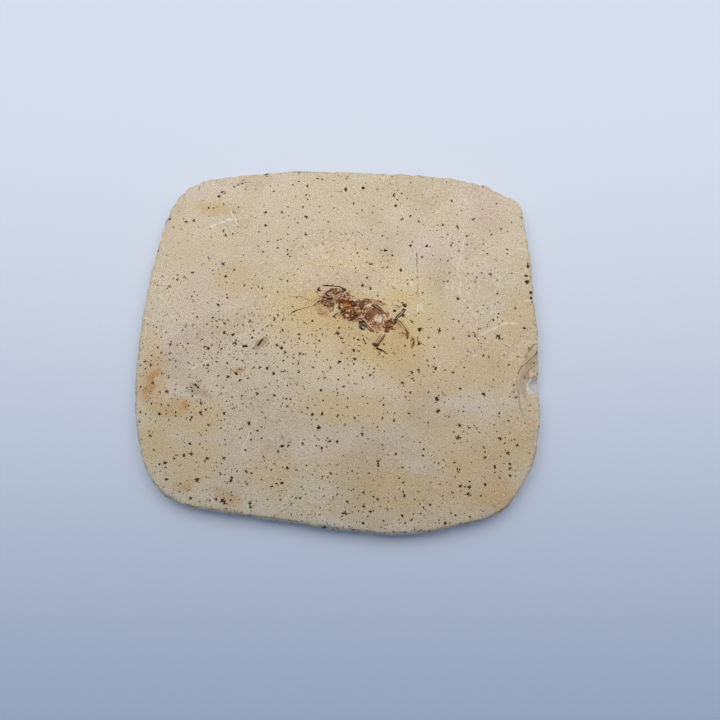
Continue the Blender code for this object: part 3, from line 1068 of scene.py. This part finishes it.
# %% List the strokes of the head and the collar
HEAD = """
wash honey .16 -4.54 11.34 1.48 .84 -10
wash tan .45 -2.91 9.29 1.92 1.62 -10
wash rose .55 -1.51 13.81 2.32 .61 -5
wash dusk .95 -2 10.93 1.62 1.06 -8
wash dusk .6 -1.43 9.71 .74 .62
mottle umber .93 -2.11 10.83 1.62 1.01 -10 .42
mottle rust .68 -2.67 9.08 1.73 .89 -5 .3
mottle rose .6 -2.54 8.96 1.85 .89 -5 .3
mottle rose .85 -2 10.93 1.52 .91 -10 .22
line umber .88 .29  -2.81 10.09  -2.31 10.03  -1.85 10.01
line umber .68 .17  -3.48 11.34  -3.58 10.93  -3.53 10.52
wash umber .93 -3.26 11.5 .13 .18
wash umber .93 -4.14 10.39 .15 .22
line bone .7 .17  -3.48 11.8  -3.79 11.34
ring umber .98 .17 -1.11 10.26 .4
wash tar .98 -1.44 10.09 .16 .16
wash olive .7 -1.09 10.52 .2 .18
line umber .78 .19  -.78 9.85  -.66 9.54
line umber .98 .29  -1.54 8.77  -1.17 8.86  -.9 9.13  -.86 9.37
line rust .58 .12  -3.98 9.13  -3.62 9.29  -3.34 9.16
line rust .58 .15  -3.47 9.03  -3.47 8.67
line rust .68 .15  -2.35 9.03  -2.33 8.62
line umber .88 .19  -4.11 8.28  -3.7 8.26
wash umber .93 -3.5 8.09 .16 .14
line rust .43 .15  -3.32 8.24  -2.5 8.55
wash olive .5 -.02 10.44 .16 .24
wash rose .4 -3.5 12.4 .94 .79
mottle rust .53 -3.5 12.47 1.04 .89 0 .26
line umber .68 .1  -2.8 12.1  -3 11.34  -3.42 10.59
line rust .58 .1  -4.16 8.45  -3.41 8.08  -2.29 8.28
"""
PRONOTUM = """
wash taupe .88 -.69 12.68 2.12 1.26 -8
mottle rose .9 -.69 12.68 2.12 1.26 -8 .5
wash taupe .84 1.65 12.16 1.72 1.06 -15
mottle rose .9 1.65 12.16 1.72 1.06 -15 .5
mottle rust .83 .13 12.47 3.13 1.36 -10 .3
net umber .93 .13 12.47 3.03 1.31 -10 .46
mottle rose .95 .13 12.58 2.93 1.16 -10 .3
mottle tar .78 .23 12.27 3.03 1.21 -10 .14
line umber .98 .41  -1.96 13.32  -2.34 13.11  -2.42 12.78  -2.19 12.42  -1.91 12.22
line umber .98 .22  -2.32 13.23  -1.81 13.4  -1.3 13.66  -.79 13.81  -.28 13.94  .07 13.9
line umber .78 .15  -1.81 13.14  -1.3 13.38  -.79 13.44  -.38 13.28
line umber .88 .22  -.49 13.76  -.28 13.45  -.18 13.17
ring umber .78 .11 -1.32 13.01 .27
wash rose .9 -1.32 13.01 .16 .16
wash tar .98 -.71 12.94 .17 .24
ring olive .7 .11 .23 13.55 .34
wash bone .7 .23 13.57 .18 .18
wash umber .93 .18 13.01 .44 .22 25
line tar .98 .39  -3.03 12.1  -2.52 11.9  -2.01 11.7  -1.5 11.61  -1.04 11.79
line umber .88 .17  -3.84 12.12  -3.38 12.04  -2.92 11.96
wash umber .78 -3.08 12.78 .14 .16
wash tar .98 .53 11.73 .22 .17
line umber .88 .15  .18 11.63  .43 11.91  .82 11.8  .94 11.55
line umber .83 .17  1.19 12.47  1.75 11.98  2.26 11.86
line umber .88 .17  1.96 12.89  2.52 12.6  2.77 12.37
wash tar .98 2.57 11.16 .19 .14
wash tar .98 2.99 11.63 .28 .14 -20
wash umber .93 2.82 13.34 .14 .17
wash umber .88 2.57 12.37 .2 .13
wash umber .68 3.97 11.7 .2 .12
wash chalk .95 .53 12.21 .15 .17
wash chalk .9 1.06 11.88 .11 .1
wash rose .9 1.27 12.41 .17 .12
wash rose .9 2.11 11.73 .14 .1
"""
FRONT_LEG = """
line umber .98 .3  -3.09 14.62  -2.12 14.58  -.95 14.52  .02 14.44  .53 14.4  1.14 14.02  1.39 13.81
wash umber .88 -.95 14.88 .26 .14
wash tar .88 -2.14 14.6 .24 .17
wash tar .78 -2.98 14.62 .26 .13
wash tar .98 1.67 13.74 .55 .36 -20
line tar .98 .39  1.65 13.52  1.39 13.15
wash rust .68 2.01 13.97 .2 .12
"""
print("strokes:", len(rows(HEAD)) + len(rows(PRONOTUM)) + len(rows(FRONT_LEG)))

# %% [markdown]
# #### The thorax
#
# The thorax has a glassy amber plate among crumpled shell. A pink and a yellow spot on the plate, and
# two lilac lines on the purple shell beside it, are painted highlights.

# %% List the strokes of the thorax
# Painted highlights: the rose wash at 1.15, 9.88, the honey wash at 2.72, 10.16 with the rose dot in
# it, and the two lilac lines near 3.7, 10.6.
THORAX = """
wash honey .25 3.17 8.08 2.96 1.98 -10
wash rust .93 1.92 10.84 2.35 .64 -4
wash rust .88 4.65 10.09 1.73 1.19 -25
wash rust .88 3.17 7.95 2.1 1.28 -10
wash dusk .85 6.39 8.2 2.1 1.53 -10
mottle tar .83 3.66 8.83 3.7 2.35 -15 .42
mottle rustier .68 3.66 8.83 3.7 2.35 -15 .25
mottle rose .9 4.41 8.7 2.96 2.1 -15 .24
wash rust .98 1.86 10.93 1.72 .34 -3
wash rust .98 3.59 10.47 1.01 .71 -30
mottle tar .98 3.59 10.47 1.01 .71 -30 .5
wash amber .95 2.01 9.8 1.41 .96 -12
mottle umber .88 2.01 9.7 1.41 .91 -12 .36
wash honey .9 1.88 10.16 .51 .36
mottle rose .6 2.01 9.8 1.31 .86 -12 .14
wash rust .68 2.39 9.7 .26 .4
wash rose .95 1.15 9.88 .26 .34
wash honey .96 2.72 10.16 .32 .18
wash rose .7 2.77 10.21 .14 .08
line tar .98 .24  .42 10.26  .46 9.8  .64 9.44  .9 9.16  1.13 8.77  1.43 8.34
line tar .88 .19  2.98 10.81  3.48 11.01  4.09 10.93
line tar .88 .19  3.08 10.93  3.48 10.42  3.84 9.8  3.71 9.18  3.89 8.77
line lilac .65 .15  3.33 10.6  3.79 10.29
line lilac .55 .12  3.69 10.95  4.19 10.52
wash tar .88 1.61 8.52 .63 .4 -35
wash rust .98 3.28 7.95 1.82 .96 -8
mottle tar .88 3.18 7.95 1.72 .91 -8 .42
mottle rose .8 3.18 8.06 1.72 .91 -8 .17
wash rose .96 2.64 8.86 .3 .27
wash rose .96 2.35 7.8 .53 .3 -20
line tar .98 .28  2.15 7.36  2.47 6.85  2.88 6.68  3.36 6.83  3.53 7.13
line tar .88 .17  2.27 7.42  2.69 7.32  3.13 7.26
wash rose .9 2.75 7.01 .18 .12
wash rust .98 4.43 7.96 1.67 .89 -6
mottle tar .93 4.43 7.96 1.62 .86 -6 .45
mottle rose .8 4.43 8.01 1.62 .86 -6 .16
wash rose .96 5.5 7.58 .28 .3
wash rose .96 4.44 7.17 .22 .16
wash tan .92 4.53 9.16 .69 .63
ring umber .83 .1 4.58 9.09 .32
wash umber .78 4.54 9.12 .11 .11
wash bone .9 4.17 9.6 .2 .13
wash bone .95 5.01 8.78 .22 .17
wash rose .9 4.78 9.66 .13 .1
"""
print("strokes:", len(rows(THORAX)))

# %% [markdown]
# #### The abdomen
#
# The abdomen is a smooth brown sheet with two places where the shell has flaked off to chalky
# stone. It ends in a crumpled tail.

# %% List the strokes of the abdomen
ABDOMEN = """
wash tan .7 6.89 9.83 2.1 1.48 -10
wash tan .7 9.62 10.59 1.23 .59 -20
wash rose .7 10.48 7.08 1.11 1.73 -10
mottle umber .78 6.89 10.34 1.98 1.11 -10 .3
mottle umber .88 10.36 7.08 1.23 1.98 -10 .3
wash rose .8 8.37 5.45 1.85 1.28 -8
mottle rust .83 8.37 5.45 1.78 1.23 -8 .26
mottle bone .7 8.37 5.45 1.78 1.23 -8 .2
wash tan .6 8.34 10.94 1.21 .53 -12
wash sheet .85 7.58 8.63 1.82 .79 -6
mottle rose .9 8.03 8.73 1.31 .61 -6 .3
wash rust .98 6.76 7.71 1.09 .89 -12
mottle tar .68 6.71 7.71 1.01 .81 -12 .35
line rust .68 .12  6.31 8.89  7.02 8.63  7.83 8.32  8.34 7.81
line honey .55 .15  6.61 8.99  7.42 8.83  8.03 8.63
line tar .68 .19  6 8.37  6.61 7.81  7.27 7.35
line amber .8 .48  6.97 6.99  6.91 6.37
line slate .98 1.27  8.09 9.76  8.69 9.6  9.35 9.19  9.81 8.73
line umber .93 .27  8.29 9.76  9.05 9.33  9.68 8.99
line slate .98 .32  8.7 10.22  9.46 9.81  9.98 9.25  10.19 8.89
line lilac .95 .18  8.42 10.07  9.05 9.7  9.68 9.18
line rose .8 .15  9.86 9.27  10.19 9.02
mottle tar .68 6.89 7.95 1.48 1.28 -10 .3
wash bone .96 7.07 9.98 1.05 .57 -12
wash rose .8 6.61 9.6 .51 .26 -20
wash chalk .9 7.17 10.07 .75 .36 -12
mottle umber .68 7.32 9.6 .91 .34 0 .3
line umber .93 .23  6.46 10.31  7.02 10.5
wash tar .93 8.16 9.84 .24 .18
line umber .88 .17  5.2 10.44  5.8 10.94  6.89 10.99  7.78 10.64
line umber .83 .12  5.35 9.83  6.09 9.43  6.94 9.28
line umber .93 .15  5.03 10.14  5.45 10.84  6.27 11.39  7.14 11.54
line umber .93 .15  6.89 11.34  8.26 11.39  9.13 11.14  9.75 10.79
line olive .7 .1  9.75 10.79  10.49 10.21  11.06 9.58  11.4 8.45
line olive .55 .09  9.62 11.01  11.11 10.04  13.22 10.04
line rose .7 .1  8.63 9.28  9.74 8.45  10.73 7.45
line tar .68 .1  8.82 8.78  9.62 8.13  10.36 7.28
wash lilac .95 5.7 10.17 .55 .34 30
line umber .98 .27  5.11 10.11  5.31 10.38  5.65 10.68  6.05 10.94  6.63 11.14
line umber .68 .24  5.21 10.07  5.55 9.76  5.9 9.55
line umber .98 .23  5.88 11.55  6.31 11.56  6.63 11.59  6.94 11.4  7.24 11.18
line olive .8 .17  6.53 11.18  7.1 11.24  7.53 11.4
line olive .6 .11  7.58 11.53  8.24 11.45  9.05 11.26  9.51 11.09
wash tar .98 9.66 10.93 .3 .17 -20
line tan .5 .15  9.92 10.74  10.22 10.43  10.47 10.07
wash chalk .96 9.2 7.09 .93 .85
mottle dusk .7 9.2 6.99 1.01 .91 0 .24
line umber .63 .17  9.4 8.07  9.76 8.2  10.06 8.16
wash rose .8 8.33 5.45 1.41 1.19 -10
mottle rose .9 8.33 5.56 1.21 1.01 -10 .4
net umber .83 8.33 5.56 1.36 1.06 -10 .4
mottle umber .88 8.64 5.66 1.11 .71 -20 .2
line umber .93 .19  7.88 5.97  8.23 5.8  8.56 5.92
line umber .88 .18  8.46 6.37  8.66 6.15  8.82 5.95
line umber .93 .19  9.04 5.68  9.27 5.39
line umber .83 .16  9.45 5.74  9.75 5.97
wash tan .55 9.14 4.94 1.11 .61 -10
wash tar .93 8.06 6.96 .19 .15
line slate .98 .19  10.39 7.4  10.18 6.89  10.11 6.27  10.16 5.76  10.36 5.33  10.66 5.04
"""
TAIL = """
wash rose .9 10.97 6.58 .67 .96
line sheet .85 .39  10.16 8.51  10.67 8.4  11.08 8.1  11.34 7.6
wash rose .9 10.57 7.86 .28 .22
wash rust .83 10.74 6.27 .3 .24
wash bone .8 11.23 5.56 .24 .2
wash tan .8 12.19 6.22 .81 .85 30
mottle rose .9 12.19 6.22 .81 .85 30 .3
wash rust .88 11.9 6.58 .44 .36
mottle umber .93 12.29 6.27 .76 .76 30 .38
line rust .98 .44  10.36 5.25  10.97 5.04  11.58 5.04  12.08 5.35
wash rust .78 11.47 5.45 1.04 .54 -35
mottle umber .83 11.47 5.57 1.48 .79 -35 .4
wash rust .96 11.02 4.43 .61 .46
mottle umber .78 11.07 4.43 .61 .48 0 .4
wash rustier .78 11.12 4.43 .3 .26
line tan .4 .36  10.36 4.64  10.56 3.92
"""
print("strokes:", len(rows(ABDOMEN)) + len(rows(TAIL)))

# %% [markdown]
# #### The legs
#
# The hip of the middle leg is nearly black, with painted highlights in lilac and chalk on it. The
# hind legs are crushed tubes, so each has two dark walls and a pale core, and the upper one a small
# painted highlight.

# %% List the strokes of the legs
# Painted highlights on the glossy hip: the three lilac lines and the chalk streak at 5.92, 5.13.
HIP = """
wash plum .98 5.9 5.68 1.13 .93 -30
mottle slate .68 5.9 5.56 1.01 .86 -30 .35
line tar .98 .32  5.01 6.25  4.91 5.66  5.11 5.13  5.51 4.74  6.05 4.62
line tar .98 .24  5.19 6.46  5.8 6.58  6.43 6.46
wash tar .78 6 5.66 .71 .51 -20
line lilac .85 .13  5.55 5.92  6 6.07  6.43 5.74
line lilac .65 .11  5.39 5.54  6 5.33  6.63 5.54
wash chalk .85 5.92 5.13 .34 .1 -12
line umber .83 .22  7.01 5.45  7.63 4.82  8.42 4.25
line rose .7 .17  6.64 4.07  7.13 3.33  7.67 2.38
line rust .58 .1  7.67 3.08  7.82 2.08
line umber .98 .28  6.51 5.04  7.01 4.79  7.34 4.43  7.74 4.36  8.35 4.1
line umber .88 .15  7.02 5.43  7.34 5.04  7.54 4.74
line lilac .5 .12  4.89 4.94  5.39 4.51  5.8 4.45
"""
# The chalk dab at 14.39, 8.36 is a painted highlight on the core of the upper hind leg.
HIND_LEGS = """
wash honey .2 14.19 4.07 1.98 1.48 20
wash honey .16 9.6 2.58 1.48 1.48
wash rose .6 13.1 5.39 .76 .42
line lilac .95 .41  13.31 7.39  13.72 7.9  14.22 8.36  14.89 9.06
line tar .98 .24  13.03 7.21  13.41 7.65  13.82 8.16  14.33 8.57  14.7 9.18
line umber .98 .24  13.59 7.28  14.22 7.75  14.55 8.16  15.04 8.67  15.2 9.13  14.89 9.29
wash chalk .8 14.39 8.36 .08 .1
line tar .98 .21  14.89 10.42  14.99 10.01  15.35 9.84  15.61 10.11  15.5 10.47
wash bone .8 15.35 10.31 .16 .15
wash umber .98 12.9 6.91 .32 .26
line umber .93 .19  12.59 5.8  13.1 6.19  13.71 6.5  14.22 6.42
line rose .85 .22  14.06 6.26  14.72 5.29  15.32 4.37
line umber .98 .24  13.43 6.98  14.22 6.31  14.72 5.7  15.22 4.88  15.75 4.04
line taupe .7 .11  13.86 6.01  14.52 5.17  15.32 4.25
line slate .63 .12  13.61 6.11  14.11 5.49  14.51 5.07
line olive .6 .12  13.69 5.44  14.01 5.6  14.31 5.39  14.11 5.17  13.7 5.27
line rust .98 .41  15.62 3.94  15.82 3.25  15.72 2.72
mottle tar .78 15.67 3.45 .44 .79 0 .4
wash rust .78 14.76 3.88 .3 .2 -20
wash umber .93 15.08 10.14 .42 .37
line umber .93 .22  14.54 10.79  14.89 10.44  15.53 9.83
line slate .78 .17  13.22 10.09  13.84 9.71  14.59 10.04
line umber .68 .12  12.85 10.04  13.35 10.14  14.09 9.88
wash slate .78 13.08 6.78 .69 .4 30
mottle umber .88 12.59 6.45 .89 .64 30 .45
line amber .7 .29  14.71 3.96  15.08 3.63
wash honey .4 15.88 3.55 .56 .61
line umber .58 .1  12.08 4.63  12.89 4.68  13.7 4.88
line bone .9 .51  10.46 3.76  9.85 2.74  9.14 1.82  8.83 1.36
line rust .58 .1  10.36 3.5  9.64 2.51  9.02 1.59
line umber .98 .28  10.66 3.43  10.25 2.74  9.74 2.02  9.34 1.31  8.98 .68
line umber .83 .17  9.42 3.2  9.09 2.63  8.81 1.97
wash umber .88 9.39 3.14 .18 .11
wash tar .98 8.63 1.21 .57 .4 20
wash rust .68 8.37 1.46 .44 .35
line umber .78 .12  10.22 3.33  9.11 1.83  8.81 1.28
wash rose .7 8.04 .75 .26 .36
line amber .65 .24  8.55 .7  8.24 .24
line tan .5 .17  7.94 .09  7.67 -.54
line dusk .55 .22  10.3 3.08  9.11 1.58
line umber .68 .1  14.03 6.53  15.06 5.07  15.7 3.78
wash taupe .5 14.12 6.12 .49 .74 -40
line slate .68 .12  12.97 9.71  13.64 9.46  14.46 9.71
mottle rust .53 13.08 5.57 1.23 .74 10 .25
"""
FOOT = """
line tar .98 .46  8.88 .43  9.64 .09  10.43 -.22
line olive .9 .29  10.43 -.24  11.17 -.69
line olive .6 .12  11.26 -.63  11.86 -.48  12.39 -.48
line olive .85 .22  12.49 -.48  12.87 -.79  13.09 -.99
"""
print("strokes:", len(rows(HIP)) + len(rows(HIND_LEGS)) + len(rows(FOOT)))

# %% [markdown]
# #### The antennae and the loose scraps
#
# The antennae are threads, broken in places. The scraps lie where they fell, and each one is a
# piece of its own.

# %% List the strokes of the antennae and the loose scraps
LONG_ANTENNA = """
line umber .98 .24  -10.17 8.29  -9.61 8.75  -9 9.03  -8.4 9.18
line olive .8 .16  -8.4 9.18  -7.59 9.44  -6.77 9.65  -5.96 9.88  -5.25 10.11
wash umber .88 -5.91 9.87 .18 .11 10
line umber .98 .23  -5.1 10.15  -4.85 10.42  -4.34 10.83  -3.94 11.24
line olive .75 .16  -3.94 11.24  -3.82 11.75  -3.38 12.04
line olive .6 .1  -5.53 10.84  -4.54 11.54  -3.75 11.97
line olive .4 .1  -7.39 10.14  -6.23 10.59  -5.48 10.89
"""
UPPER_ANTENNA = """
line sheet .5 .17  -10.96 12.22  -10.14 12.21  -9.13 12.06
line sheet .8 .18  -9.13 12.06  -8.52 12.16
line sheet .6 .16  -8.52 12.16  -7.5 11.91  -6.68 11.55
line sheet .95 .17  -6.68 11.53  -6.28 11.26  -5.71 10.93
"""
MOUTHPART = """
line umber .98 .28  -3.93 14.17  -4.15 13.66  -4.45 12.91
line tar .98 .3  -4.13 13.63  -3.68 13.4
line umber .88 .17  -4.03 13.4  -3.78 13.07
"""
MIDDLE_SHIN = """
line olive .75 .39  .16 8.31  .49 7.85
line umber .98 .29  .14 8.42  -.37 8  -.72 7.65  -.27 7.3
line tar .78 .22  -.57 7.75  -.72 7.65  -.47 7.44
line olive .8 .19  .12 8.4  .44 8.51
"""
MIDDLE_FOOT = """
line sheet .85 .29  -.58 3.55  -.33 3.87  0 4.12
line tan .5 .15  -.08 4.28  .25 4.72
"""
REAR_FOOT = """
wash honey .45 16.83 2.84 .61 .42
line sheet .9 .36  16.71 2.63  17.05 2.41
line sheet .75 .48  17.15 1.87  16.95 1.26  16.7 .65
mottle umber .88 16.93 1.61 .45 1.11 10 .4
"""
INSECT = (
    LONG_ANTENNA, HEAD, PRONOTUM, FRONT_LEG, ABDOMEN, TAIL, THORAX, HIP, HIND_LEGS, FOOT,
)
print("strokes in the insect:", sum(len(rows(part)) for part in INSECT))

# %% [markdown]
# ### The relief
#
# Beneath the skin the crushed body stands up a little: low domes for the glassy plate of the
# thorax, the hip and the abdomen, and long ones for the hind legs.

# %% Raise the body
DOMES = (  # x, y, half lengths, turn, height
    (2.9, 9.5, 1.9, 1.2, -30, 0.22),
    (4.9, 8.4, 2.0, 1.5, -30, 0.14),
    (8.1, 8.0, 3.0, 2.3, -33, 0.16),
    (5.8, 5.8, 1.25, 1.0, -25, 0.30),
    (0.2, 12.2, 3.0, 1.4, -14, 0.10),
    (-2.0, 10.9, 1.6, 1.1, -8, 0.10),
    (11.9, 6.0, 1.4, 0.9, 40, 0.14),
    (14.1, 8.4, 2.3, 0.45, 55, 0.16),
    (10.0, 3.1, 2.7, 0.45, 55, 0.16),
    (14.6, 5.4, 2.4, 0.35, -58, 0.12),
    (9.6, 0.1, 1.3, 0.26, -28, 0.14),
)
DOME_SHAPE = 0.7  # under 1 a dome has a flat top and steep sides


def relief(places):
    """The height of the crushed body above the stone, in millimetres."""
    height = np.zeros(len(places))
    for x, y, half_x, half_y, turn, rise in DOMES:
        along, across = turned(places, (x, y), (half_x, half_y), turn)
        dome = np.clip(1 - along ** 2 - across ** 2, 0, 1) ** DOME_SHAPE
        height = np.maximum(height, rise * dome)
    return height


print("domes:", len(DOMES))

# %% [markdown]
# ### The skin's material
#
# The mineral is goethite, rusted iron in fine grains, over limestone. Where it is dense it has a
# satin gloss, so its roughness falls as its cover grows. The paint is stored on the points, and
# the stone's own colour shows through where the cover is thin. A fine grain breaks up the paint.

# %% Make the skin's material
SKIN_GRAIN = 0.22
SKIN_GRAIN_DEPTH = 0.02


def skin_material(name, glossiest):
    """Goethite over limestone. glossiest is the roughness where the mineral is dense."""
    made = bpy.data.materials.new(name)
    made.use_nodes = True
    tree = made.node_tree
    shader = tree.nodes["Principled BSDF"]
    shader.inputs["IOR"].default_value = 1.55
    shader.inputs["Specular IOR Level"].default_value = 0.1
    under = add(tree, "Group", {}, node_tree=limestone)
    paint = add(tree, "Attribute", {}, attribute_name="paint").outputs["Color"]
    cover = add(tree, "Attribute", {}, attribute_name="cover").outputs["Fac"]
    place = add(tree, "TexCoord", {}).outputs["Object"]
    grain = add(tree, "TexNoise", {"Vector": place, "Scale": 1 / (SKIN_GRAIN * MM), "Detail": 2.0})
    shade = add(tree, "MapRange", {
        "Value": grain.outputs[0], "From Min": 0.3, "From Max": 0.7, "To Min": 0.8, "To Max": 1.2,
    }).outputs[0]
    grained = add(tree, "VectorMath", {"Vector": paint, "Scale": shade}, operation="SCALE")
    colour = add(tree, "Mix", {
        "Factor_Float": cover, "A_Color": under.outputs["Color"], "B_Color": grained.outputs[0],
    }, data_type="RGBA").outputs[2]
    tree.links.new(colour, shader.inputs["Base Color"])
    roughness = add(tree, "MapRange", {"Value": cover, "To Min": STONE_ROUGH, "To Max": glossiest})
    tree.links.new(roughness.outputs[0], shader.inputs["Roughness"])
    bump = add(tree, "Bump", {"Height": grain.outputs[0], "Distance": SKIN_GRAIN_DEPTH * MM})
    tree.links.new(bump.outputs[0], shader.inputs["Normal"])
    return made


dense_goethite = skin_material("dense_goethite", 0.5)
pale_goethite = skin_material("pale_goethite", 0.7)
print("materials:", dense_goethite.name, pale_goethite.name)

# %% [markdown]
# ### From paint to a closed piece
#
# A piece starts as a grid over its node's box, is painted, and loses its bare points. One ring of
# bare points stays around the paint: it dips just under the stone, so that no edge shows. The sheet
# is then drawn down into the stone and flattened there, which closes it.

# %% Make a piece of skin
STEP = 0.08  # between two points of the grid
MARGIN = 0.8  # how far the grid reaches past the node's box
BARE = 0.03  # less cover than this is no paint
DIP = 0.02
ROOT = 0.08  # the skin's underside, below the stone's face
CRUMPLE, CRUMPLE_SIZE = 0.03, 0.3  # fine folds all over the skin
FILLED = 1.5  # a cover of one part in this already has the body's whole relief
SHARPEST_FOLD = math.radians(60)


def skin(node, parts, material):
    """One piece of the insect, painted on a grid over its node's box."""
    low, high = (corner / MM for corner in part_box(node))
    width, depth = high.x - low.x + 2 * MARGIN, high.y - low.y + 2 * MARGIN
    bpy.ops.mesh.primitive_grid_add(
        x_subdivisions=round(width / STEP), y_subdivisions=round(depth / STEP), size=MM,
        location=((low.x + high.x) / 2 * MM, (low.y + high.y) / 2 * MM, FACE * MM),
    )
    piece = bpy.context.object
    piece.name = node + "_skin"
    piece.scale = (width, depth, 1)
    bpy.ops.object.transform_apply(location=True, rotation=True, scale=True)

    mesh = piece.data
    places = np.array([(vertex.co.x / MM, vertex.co.y / MM) for vertex in mesh.vertices])
    film = Film(places)
    for strokes in parts:
        film.draw(strokes)
    cover = np.clip(film.cover, 0, 1)
    rise = cover * (film.thickness + relief(places) * np.minimum(1, cover * FILLED))
    rise += CRUMPLE * cover * film.grain(CRUMPLE_SIZE, 5.0)
    rise = np.where(cover > BARE, rise, -DIP)
    lie = np.array([swell(x, y) for x, y in places])
    store_paint(mesh, film.solid(), cover)
    for vertex, height in zip(mesh.vertices, FACE + lie + rise):
        vertex.co.z = height * MM

    select_parts(mesh, "VERT", cover > BARE)
    bpy.ops.mesh.select_more()
    bpy.ops.mesh.select_all(action="INVERT")
    bpy.ops.mesh.delete(type="VERT")
    bpy.ops.mesh.select_all(action="SELECT")
    bpy.ops.mesh.extrude_region()
    bpy.ops.transform.resize(value=(1, 1, 0), center_override=(0, 0, (FACE - ROOT) * MM))
    bpy.ops.mesh.select_all(action="SELECT")
    bpy.ops.mesh.normals_make_consistent(inside=False)
    bpy.ops.object.mode_set(mode="OBJECT")
    bpy.ops.object.shade_smooth_by_angle(angle=SHARPEST_FOLD)
    mesh.materials.append(material)
    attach(piece, "root")
    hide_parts(node)
    print(piece.name, "faces:", len(mesh.polygons), "highest, mm:", round(float(rise.max()), 2))


skin("insect", INSECT, dense_goethite)
skin("upper_antenna", [UPPER_ANTENNA], pale_goethite)
for node, strokes in (
    ("mouthpart", MOUTHPART), ("middle_shin", MIDDLE_SHIN),
    ("middle_foot", MIDDLE_FOOT), ("rear_foot", REAR_FOOT),
):
    skin(node, [strokes], dense_goethite)

# %% [markdown] ## The end
